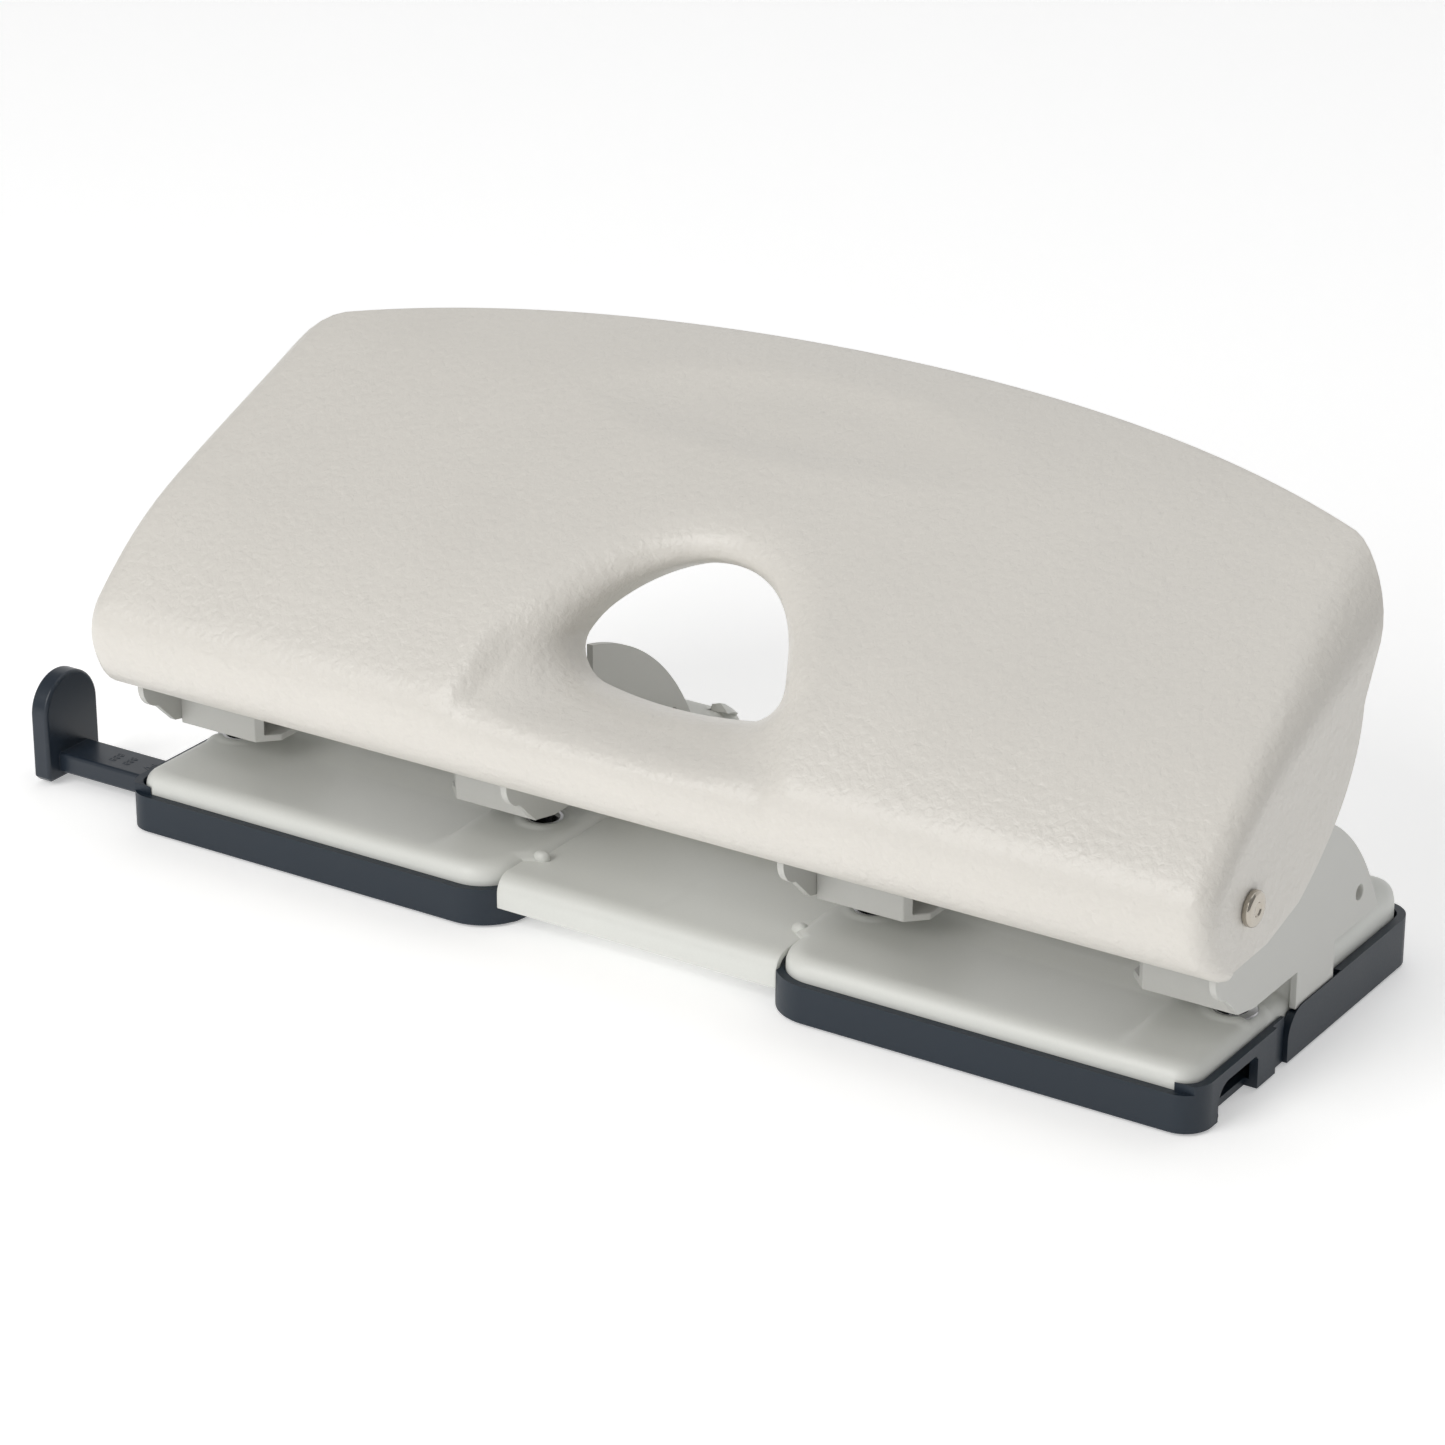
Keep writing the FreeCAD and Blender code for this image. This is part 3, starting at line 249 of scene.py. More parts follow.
class MaterialMaker:
    """Builds node materials from finishes, each once."""

    COAT_ROUGHNESS = 0.25
    BRUSHED = (0.12, 1.0, 1.0)
    DRIFT_CELLS = 28.0
    DRIFT_RANGE = (0.3, 0.7)

    def __init__(self) -> None:
        self._made: Dict[str, bpy.types.Material] = {}

    def get(self, finish: Finish) -> bpy.types.Material:
        """The material of a finish, made the first time it is asked for."""
        if finish.name not in self._made:
            self._made[finish.name] = self._build(finish)
        return self._made[finish.name]

    def _build(self, finish: Finish) -> bpy.types.Material:
        """Builds one material's nodes."""
        material = bpy.data.materials.new(finish.name)
        material.use_nodes = True
        nodes = Nodes(material.node_tree)
        shader = material.node_tree.nodes["Principled BSDF"]
        for name, value in (("Base Color", (*finish.color, 1.0)), ("Roughness", finish.roughness),
                            ("Metallic", finish.metallic), ("Coat Weight", finish.coat),
                            ("Coat Roughness", self.COAT_ROUGHNESS)):
            shader.inputs[name].default_value = value
        source = nodes.add("ShaderNodeTexCoord", {}, "Object")
        if finish.grain is Grain.GROUND:
            source = nodes.add("ShaderNodeMapping", {"Scale": self.BRUSHED, "Vector": source})
        self._mottle(nodes, shader, source, finish)
        if finish.bump > 0:
            normal = nodes.add("ShaderNodeBump", {"Strength": 1.0, "Distance": finish.bump * MM,
                                                  "Height": self._height(nodes, source, finish)})
            nodes.feed(shader.inputs["Normal"], normal)
        return material

    def _mottle(self, nodes: Nodes, shader: bpy.types.Node, source: bpy.types.NodeSocket,
                finish: Finish) -> None:
        """Lets colour and roughness drift slowly over the surface."""
        slow = nodes.noise(source, self.DRIFT_CELLS, 3.0)
        fine = nodes.noise(source, 900.0 / max(finish.size, 0.3), 2.0)
        both = nodes.add("ShaderNodeMix", {0: 0.4, 2: slow, 3: fine})
        color = nodes.add("ShaderNodeValToRGB", {"Fac": both}, "Color")
        ends = color.node.color_ramp.elements
        for end, position, share in zip(ends, self.DRIFT_RANGE, (1 - finish.mottle, 1 + finish.mottle)):
            end.position = position
            end.color = (*[min(1.0, c * share) for c in finish.color], 1.0)
        nodes.feed(shader.inputs["Base Color"], color)
        low, high = self.DRIFT_RANGE
        nodes.feed(shader.inputs["Roughness"], nodes.add("ShaderNodeMapRange", {
            "From Min": low, "From Max": high, "To Min": finish.roughness * 0.9,
            "To Max": finish.roughness * 1.12, "Value": both}, "Result"))

    def _height(self, nodes: Nodes, source: bpy.types.NodeSocket, finish: Finish) -> bpy.types.NodeSocket:
        """The grain's height field."""
        cells = 1000.0 / finish.size
        if finish.grain is not Grain.WRINKLE:
            return nodes.noise(source, cells, 3.0, 0.6)
        bend = nodes.noise(source, cells * 0.7, 2.0, output="Color")
        bent = nodes.add("ShaderNodeVectorMath", {0: bend, 1: (1.6 * finish.size * MM,) * 3, 2: source},
                         "Vector", operation="MULTIPLY_ADD")
        cell = nodes.add("ShaderNodeTexVoronoi", {"Scale": cells * 0.62, "Smoothness": 0.6, "Vector": bent},
                         "Distance", feature="SMOOTH_F1")
        ridge = nodes.noise(bent, cells * 0.9, 3.0, 0.55)
        swell = nodes.noise(source, cells * 0.16, 2.0)
        return nodes.math("MULTIPLY_ADD", swell, 1.5, nodes.math("MULTIPLY_ADD", cell, -0.9, ridge))


MATERIALS = MaterialMaker()


# ------------------------------------------------------------------------------ mesh tools


def add_object(name: str, data: bpy.types.ID) -> bpy.types.Object:
    """Links data, such as a mesh, into the scene as an object at the origin.

    Args:
        name: Name of the object.
        data: Its data.

    Returns:
        The object.
    """
    made = bpy.data.objects.new(name, data)
    bpy.context.scene.collection.objects.link(made)
    return made


def from_bmesh(name: str, bm: bmesh.types.BMesh) -> bpy.types.Object:
    """Turns a bmesh into an object and frees it."""
    mesh = bpy.data.meshes.new(name)
    bm.to_mesh(mesh)
    bm.free()
    return add_object(name, mesh)


def evaluated(obj: bpy.types.Object) -> bpy.types.Mesh:
    """A new mesh with the object's modifiers in it."""
    bpy.context.view_layer.update()
    return bpy.data.meshes.new_from_object(obj.evaluated_get(bpy.context.evaluated_depsgraph_get()))


def bake(obj: bpy.types.Object) -> bpy.types.Object:
    """Turns an object's modifiers into its mesh and hands the object back."""
    mesh, old = evaluated(obj), obj.data
    obj.modifiers.clear()
    obj.data = mesh
    mesh.name = obj.name
    bpy.data.meshes.remove(old)
    return obj


def modify(obj: bpy.types.Object, kind: str, **values: object) -> bpy.types.Modifier:
    """Adds a modifier.

    Args:
        obj: The object.
        kind: Modifier type.
        values: Properties by name.

    Returns:
        The modifier.
    """
    modifier = obj.modifiers.new(kind.lower(), kind)
    for key, value in values.items():
        setattr(modifier, key, value)
    return modifier


def shade(obj: bpy.types.Object, angle: float = 32.0) -> None:
    """Smooth shading that keeps edges sharper than the angle, in degrees."""
    mesh = obj.data
    mesh.shade_smooth()
    mesh.set_sharp_from_angle(angle=math.radians(angle))


def outward(bm: bmesh.types.BMesh) -> None:
    """Recalculates normals so that faces look outward."""
    bmesh.ops.recalc_face_normals(bm, faces=bm.faces)


def join(bm: bmesh.types.BMesh, rows: Sequence[Sequence[bmesh.types.BMVert]], closed: bool = True) -> None:
    """Adds the faces between rows of vertices, where a row may also be one point.

    Args:
        bm: The bmesh.
        rows: The rows, one after another.
        closed: Whether a row's last vertex joins its first.
    """
    for low, high in zip(rows, rows[1:]):
        count = max(len(low), len(high))
        for i in range(count if closed else count - 1):
            n = (i + 1) % count
            corners = [low[i % len(low)], low[n % len(low)], high[n % len(high)], high[i % len(high)]]
            bm.faces.new(list(dict.fromkeys(corners)))


@dataclass
class Piece:
    """A finished object and how it belongs to the frame.

    Attributes:
        obj: The object.
        body: CAD body it rides on.
        finish: Its material, which is also its slot.
        nodes: CAD nodes it stands for.
    """

    obj: bpy.types.Object
    body: str
    finish: Finish
    nodes: Tuple[str, ...] = ()

    def attach(self) -> bpy.types.Object:
        """Gives the piece its material and ties it to the frame.

        Returns:
            The object.
        """
        mesh = self.obj.data
        mesh.materials.clear()
        mesh.materials.append(MATERIALS.get(self.finish))
        mesh.polygons.foreach_set("material_index", [0] * len(mesh.polygons))
        if self.nodes:
            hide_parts(*self.nodes)
        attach(self.obj, self.body)
        LOG.info("%s: %d faces on %s", self.obj.name, len(mesh.polygons), self.body)
        return self.obj


@dataclass
class SheetMesh:
    """Grid of lines in a flat plan that a function lifts into space, with openings filled by rings.

    Attributes:
        us: Grid lines of the first direction.
        vs: Grid lines of the second direction.
        lift: Turns plan (u, v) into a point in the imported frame.
    """

    us: Sequence[float]
    vs: Sequence[float]
    lift: Callable[[float, float], Vector]

    def __post_init__(self) -> None:
        self.bm = bmesh.new()
        self.grid: Dict[Tuple[int, int], bmesh.types.BMVert] = {}
        self.closed: List[Tuple[int, int, int, int]] = []

    def open(self, u0: float, u1: float, v0: float, v1: float) -> Tuple[int, int, int, int]:
        """Keeps a rectangle of the grid free of faces.

        Args:
            u0: Low side of the first direction.
            u1: High side.
            v0: Low side of the second direction.
            v1: High side.

        Returns:
            The rectangle in grid indices.
        """
        def near(lines: Sequence[float], value: float) -> int:
            return min(range(len(lines)), key=lambda i: abs(lines[i] - value))

        window = (near(self.us, u0), near(self.us, u1), near(self.vs, v0), near(self.vs, v1))
        self.closed.append(window)
        return window

    def vert(self, i: int, j: int) -> bmesh.types.BMVert:
        """The vertex on two grid lines, made the first time it is asked for."""
        if (i, j) not in self.grid:
            self.grid[i, j] = self.bm.verts.new(self.lift(self.us[i], self.vs[j]))
        return self.grid[i, j]

    def fill(self) -> None:
        """Adds the grid's faces, except in the openings."""
        for i in range(len(self.us) - 1):
            for j in range(len(self.vs) - 1):
                if any(a <= i < b and c <= j < d for a, b, c, d in self.closed):
                    continue
                self.bm.faces.new([self.vert(i, j), self.vert(i + 1, j), self.vert(i + 1, j + 1),
                                   self.vert(i, j + 1)])

    def around(self, window: Tuple[int, int, int, int]) -> List[Tuple[int, int]]:
        """Grid indices round a rectangle, anticlockwise from its low corner."""
        a, b, c, d = window
        return ([(i, c) for i in range(a, b)] + [(b, j) for j in range(c, d)]
                + [(i, d) for i in range(b, a, -1)] + [(a, j) for j in range(d, c, -1)])

    def rings(self, keys: Sequence[Tuple[int, int]], loops: Sequence[Loop], closed: bool = True) -> None:
        """Joins a run of grid vertices to loops of as many points, one after another.

        Args:
            keys: Grid indices of the first loop.
            loops: Points of the following loops.
            closed: Whether the last point joins the first.
        """
        rows = [[self.vert(i, j) for i, j in keys]]
        rows += [[self.bm.verts.new(p) for p in loop] for loop in loops]
        join(self.bm, rows, closed)

    def finish(self, name: str, wall: float, rim: float) -> bpy.types.Object:
        """Gives the sheet its wall and turns it into an object.

        Args:
            name: Name of the object.
            wall: Thickness, in millimetres, added behind the faces.
            rim: Rounding of the free edges, in millimetres.

        Returns:
            The object.
        """
        bmesh.ops.remove_doubles(self.bm, verts=self.bm.verts, dist=0.01 * MM)
        outward(self.bm)
        top = max(self.bm.faces, key=lambda f: f.calc_center_median().z)
        if top.normal.z < 0:
            bmesh.ops.reverse_faces(self.bm, faces=self.bm.faces)
        obj = from_bmesh(name, self.bm)
        modify(obj, "SOLIDIFY", thickness=wall * MM, offset=-1.0, use_even_offset=False)
        bake(obj)
        if rim > 0:
            modify(obj, "BEVEL", width=rim * MM, segments=2, limit_method="ANGLE",
                   angle_limit=math.radians(55))
            bake(obj)
        shade(obj, 40)
        return obj


# ------------------------------------------------------------------------------ lever cover


class FrontProfile:
    """The cover's front face as arcs in the YZ plane, from the lip under the nose to the rear edge."""

    NOSE = (-52.8, 46.0)
    LOWER_R = 14.5
    LOWER_TURN = 75.0
    ARCS = ((12.0, 45.0), (109.0, 17.0), (820.0, 3.0), (110.0, 19.0))
    SLOPE = math.tan(math.radians(16.0))
    SLOPE_FROM = -70.0
    ABOVE_NOSE = 12.0
    SAMPLES = 1200

    def __init__(self) -> None:
        turn = math.radians(self.LOWER_TURN)
        cy = self.NOSE[0] + self.LOWER_R
        y, z = cy - self.LOWER_R * math.cos(turn), self.NOSE[1] - self.LOWER_R * math.sin(turn)
        angle = 90.0 + self.LOWER_TURN
        self._runs = []
        total = 0.0
        for radius, degrees in ((self.LOWER_R, self.LOWER_TURN),) + self.ARCS:
            a = math.radians(angle)
            centre = (y + radius * math.sin(a), z - radius * math.cos(a))
            length = radius * math.radians(degrees)
            self._runs.append((total, total + length, radius, a, centre))
            total += length
            angle -= degrees
            b = math.radians(angle)
            y, z = centre[0] - radius * math.sin(b), centre[1] + radius * math.cos(b)
        self.length = total
        ss = np.linspace(0.0, total, self.SAMPLES)
        self._s_table = ss
        self._w_table = np.array([self.height(s) for s in ss])

    def at(self, s: float, inward: float = 0.0) -> Point2:
        """Y and Z at an arc length from the lip, that far behind the face."""
        for start, end, radius, a, (cy, cz) in self._runs:
            if s <= end or end == self.length:
                heading = a - (s - start) / radius
                reach = radius - inward
                return cy - reach * math.sin(heading), cz + reach * math.cos(heading)
        raise ValueError(s)

    def height(self, s: float) -> float:
        """Height of the point carried forward along the hand hole's own slope."""
        y, z = self.at(s)
        return z + (y - self.SLOPE_FROM) * self.SLOPE

    def s_at_height(self, w: float) -> float:
        """Arc length of the point with that carried height, above the nose."""
        low = int(np.argmax(self._s_table > self.ABOVE_NOSE))
        return float(np.interp(w, self._w_table[low:], self._s_table[low:]))


@dataclass
class LeverCover:
    """The wrinkle-painted cover: front face, rolled corners, side walls and the rolled hand hole."""

    half: float = 132.0
    spacing: float = 2.0
    wall: float = 1.5
    arch_drop: float = 30.0
    hole_half: float = 25.8
    hole_low: float = 64.6
    hole_corner: float = 8.1
    hole_flat: float = 1.25
    hole_crown: float = 0.721
    hole_sag: float = 3.1
    roll: float = 13.0
    rim_depth: float = 17.5
    scoop: float = 3.0
    scoop_x: float = 31.6
    scoop_wall: float = 6.0
    scoop_start: float = 16.0
    thumb: float = 1.7
    thumb_x: float = -3.0
    thumb_back: float = 27.0
    thumb_size: Tuple[float, float] = (46.0, 13.0)
    top_line: float = 96.0
    side_top_y: float = 14.2
    outline_points: int = 240
    grid_inset: float = 5.0

    def __post_init__(self) -> None:
        self.profile = FrontProfile()
        self._ends: Dict[Tuple[float, float, int], float] = {}
        self.arch_r = (self.half ** 2 + self.arch_drop ** 2) / (2 * self.arch_drop)
        self.rear_y = self.profile.at(self.profile.length)[0]

    def corner_r(self, s: float) -> float:
        """Radius of the corner between the front face and a side wall."""
        return lerp(2.2, 5.0, smooth(s, 0.0, 14.0)) + 6.5 * smooth(s, 40.0, 112.0)

    def face_x(self, x_grid: float, r: float) -> float:
        """X on the face of a grid line, where the corner has radius r."""
        return x_grid / (self.half - self.grid_inset) * (self.half - r)

    def arch_y(self, x: float) -> float:
        """Rear edge in plan."""
        return self.rear_y - (self.arch_r - math.sqrt(self.arch_r ** 2 - x * x))

    def depth(self, x: float, s: float) -> float:
        """How far the pressed details sink below the plain face."""
        width, height = self.thumb_size
        palm = ((x - self.thumb_x) / width) ** 2 + ((s - self.thumb_s(x)) / height) ** 2
        thumb = self.thumb * (1.0 - smooth(palm, 0.05, 1.25))
        edge = self.scoop_x + 0.12 * (46.0 - min(46.0, s))
        side = 1.0 - smooth(abs(x), edge - 0.6, edge + self.scoop_wall)
        low = self.profile.s_at_height(self.hole_low)
        scoop = self.scoop * side * smooth(s, self.scoop_start, low - 2.0)
        return thumb + scoop * (1.0 - smooth(s, low + 1.0, low + 18.0))

    def thumb_s(self, x: float) -> float:
        """Centre line of the thumb recess, which bends with the rear edge."""
        return self.profile.length - self.thumb_back - 0.0016 * x * x

    def surface(self, x: float, s: float, inward: float = 0.0) -> Vector:
        """Point of the front face."""
        y, z = self.profile.at(s, inward + self.depth(x, s))
        return place(x, y, z)

    def column(self, x_flat: float, turn: float, s: float, side: int) -> Vector:
        """Point of a corner roll, or of the flat face where turn is 0.

        Args:
            x_flat: X on the face, or the side's sign only where turn is above 0.
            turn: Angle round the corner in radians.
            s: Arc length before the rear edge trims it.
            side: -1, 0 or 1.

        Returns:
            The point.
        """
        if s > self.top_line:
            s = self._trimmed(x_flat, turn, s, side)
        x, inward = self._across(x_flat, turn, s, side)
        if side == 0:
            return self.surface(x, s)
        y, z = self.profile.at(s, inward)
        return place(x, y, z)

    def _across(self, x_flat: float, turn: float, s: float, side: int) -> Point2:
        """X of a point of a corner roll or of the flat face, and how far it lies behind the face."""
        r = self.corner_r(s)
        if side == 0:
            return self.face_x(x_flat, r), 0.0
        return side * (self.half - r + r * math.sin(turn)), r * (1 - math.cos(turn))

    def _trimmed(self, x_flat: float, turn: float, s: float, side: int) -> float:
        """Arc length squeezed so that the last row lies on the arched rear edge."""
        key = (round(x_flat, 4), round(turn, 4), side)
        if key not in self._ends:
            back = (turn / (math.pi / 2)) ** 1.6 if side else 0.0

            def before_edge(end: float) -> bool:
                x, inward = self._across(x_flat, turn, end, side)
                return self.profile.at(end, inward)[0] <= lerp(self.arch_y(x), self.side_top_y, back)

            self._ends[key] = bisect(self.top_line, self.profile.length, before_edge)
        share = (s - self.top_line) / (self.profile.length - self.top_line)
        return lerp(self.top_line, self._ends[key], share)

    def hole_outline(self, grow: float) -> List[Point2]:
        """Points of the hand hole in (x, carried height), anticlockwise from low left.

        Args:
            grow: How far outside the hole.

        Returns:
            The points, evenly spaced.
        """
        half, r = self.hole_half + grow, self.hole_corner + grow
        low = self.hole_low - grow
        mid = self.hole_low + self.hole_corner + self.hole_flat
        crown = self.hole_half * self.hole_crown + grow
        arch_r = (half * half + crown * crown) / (2 * crown)
        reach = math.asin(min(1.0, half / arch_r))
        line = arc((-half + r, low + r), r, 180, 270, 16)
        line += [(lerp(-half + r, half - r, i / 40), low) for i in range(1, 40)]
        line += arc((half - r, low + r), r, 270, 360, 16)
        for i in range(81):
            a = lerp(reach, -reach, i / 80)
            line.append((arch_r * math.sin(a), mid + crown - arch_r + arch_r * math.cos(a)))
        line.append(line[0])
        points = np.array(line)
        share = np.clip((mid - points[:, 1]) / (mid - low), 0.0, 1.0)
        points[:, 1] += self.hole_sag * (points[:, 0] / half) ** 2 * share
        run = run_of(points)
        at = np.linspace(0.0, run[-1], self.outline_points, endpoint=False)
        return list(zip(np.interp(at, run, points[:, 0]), np.interp(at, run, points[:, 1])))

    def hole_loops(self, rim: Sequence[Point2]) -> List[Loop]:
        """Loops from the grid's rectangle to the hole's rolled edge and its rim behind.

        Args:
            rim: The rectangle's points in (x, s), anticlockwise from the low corner.

        Returns:
            The loops, outermost first.
        """
        centre = (0.0, self.hole_low + 16.0)
        start = [(x, self.profile.height(s)) for x, s in rim]

        def by_angle(points: Sequence[Point2]) -> List[Point2]:
            angles = np.unwrap([math.atan2(w - centre[1], x - centre[0]) for x, w in points])
            wanted = np.array([math.atan2(w - centre[1], x - centre[0]) for x, w in start])
            low = angles[0]
            xs, ws = np.array(points).T
            wanted = low + np.mod(wanted - low, 2 * math.pi)
            angles = np.append(angles, low + 2 * math.pi)
            xs, ws = np.append(xs, xs[0]), np.append(ws, ws[0])
            return list(zip(np.interp(wanted, angles, xs), np.interp(wanted, angles, ws)))

        slope = math.atan(self.profile.SLOPE)
        axis = Vector((0.0, math.cos(slope), -math.sin(slope))) * MM

        def lifted(x: float, w: float, behind: float) -> Vector:
            s = self.profile.s_at_height(w)
            return self.surface(x, s) + axis * behind

        begin = by_angle(self.hole_outline(self.roll))
        loops: List[Loop] = []
        rows = 7
        for k in range(1, rows):
            t = k / rows
            loops.append([lifted(lerp(a[0], b[0], t), lerp(a[1], b[1], t), 0.0)
                          for a, b in zip(start, begin)])
        turns = 20
        for k in range(turns + 1):
            turn = math.radians(90.0 * (k / turns) ** 1.25)
            ring = by_angle(self.hole_outline(self.roll * (1 - math.sin(turn))))
            loops.append([lifted(x, w, self.roll * (1 - math.cos(turn))) for x, w in ring])
        last = by_angle(self.hole_outline(0.0))
        for behind in (self.rim_depth - 1.5, self.rim_depth):
            loops.append([lifted(x, w, behind) for x, w in last])
        return loops

    def side_outline(self) -> List[Point2]:
        """Lower and rear edge of a side wall in YZ, from the lip to the top."""
        line = [self.profile.at(0.0, 2.25), (-28.0, 34.6), (-15.5, 38.0)]
        first, middle, last = (-15.5, 38.0), (2.1, 52.8), (8.6, 70.0)
        for i in range(1, 25):
            t = i / 24
            y, z = (((1 - t) ** 2) * a + 2 * t * (1 - t) * (2 * b - (a + c) / 2) + t * t * c
                    for a, b, c in zip(first, middle, last))
            line.append((y, z))
        line.append((self.side_top_y, self._side_top_z()))
        return line

    def _side_top_z(self) -> float:
        """Height of the rear edge's end at the side wall."""
        s = bisect(60.0, self.profile.length,
                   lambda end: self.profile.at(end, self.corner_r(end))[0] < self.side_top_y)
        return self.profile.at(s, self.corner_r(s))[1]

    def build(self) -> Piece:
        """Builds the cover.

        Returns:
            The piece.
        """
        outer = self.half - self.grid_inset
        us: List[float] = []
        lines = (-outer, -41.0, -29.0, 29.0, 41.0, outer)
        gaps = (self.spacing, 0.9, self.spacing, 0.9, self.spacing)
        for low, high, gap in zip(lines, lines[1:], gaps):
            us += steps(low, high, gap)[:-1]
        us.append(steps(lines[-2], outer, self.spacing)[-1])
        vs = steps(0.0, self.top_line, self.spacing)[:-1]
        vs += steps(self.top_line, self.profile.length, self.spacing)
        sheet = SheetMesh(us, vs, lambda u, v: self.column(u, 0.0, v, 0))
        window = sheet.open(-46.0, 46.0, self.profile.s_at_height(self.hole_low - self.roll - 2.0), 94.0)
        sheet.fill()
        keys = sheet.around(window)
        rim = [(self.face_x(us[i], self.corner_r(vs[j])), vs[j]) for i, j in keys]
        sheet.rings(keys, self.hole_loops(rim))
        self._sides(sheet)
        made = sheet.finish("cover_shell", self.wall, 0.35)
        return Piece(made, "lever", COVER_PAINT, ("lever_cover",))

    def _sides(self, sheet: SheetMesh) -> None:
        """Adds both corner rolls and side walls."""
        outline = np.array(self.side_outline())
        run = run_of(outline)
        count = len(sheet.vs)
        turns, rows = 8, 12
        for side in (-1, 1):
            column = 0 if side < 0 else len(sheet.us) - 1
            keys = [(column, j) for j in range(count)]
            loops: List[Loop] = []
            for k in range(1, turns + 1):
                turn = math.radians(90 * k / turns)
                loops.append([self.column(0.0, turn, s, side) for s in sheet.vs])
            inner = loops[-1]
            lengths = [0.0]
            for a, b in zip(inner, inner[1:]):
                lengths.append(lengths[-1] + (b - a).length)
            ends = []
            for length in lengths:
                at = length / lengths[-1] * run[-1]
                ends.append(place(side * self.half, float(np.interp(at, run, outline[:, 0])),
                                  float(np.interp(at, run, outline[:, 1]))))
            for k in range(1, rows + 1):
                loops.append([a.lerp(b, k / rows) for a, b in zip(inner, ends)])
            sheet.rings(keys, loops, closed=False)


# ------------------------------------------------------------------------------ base


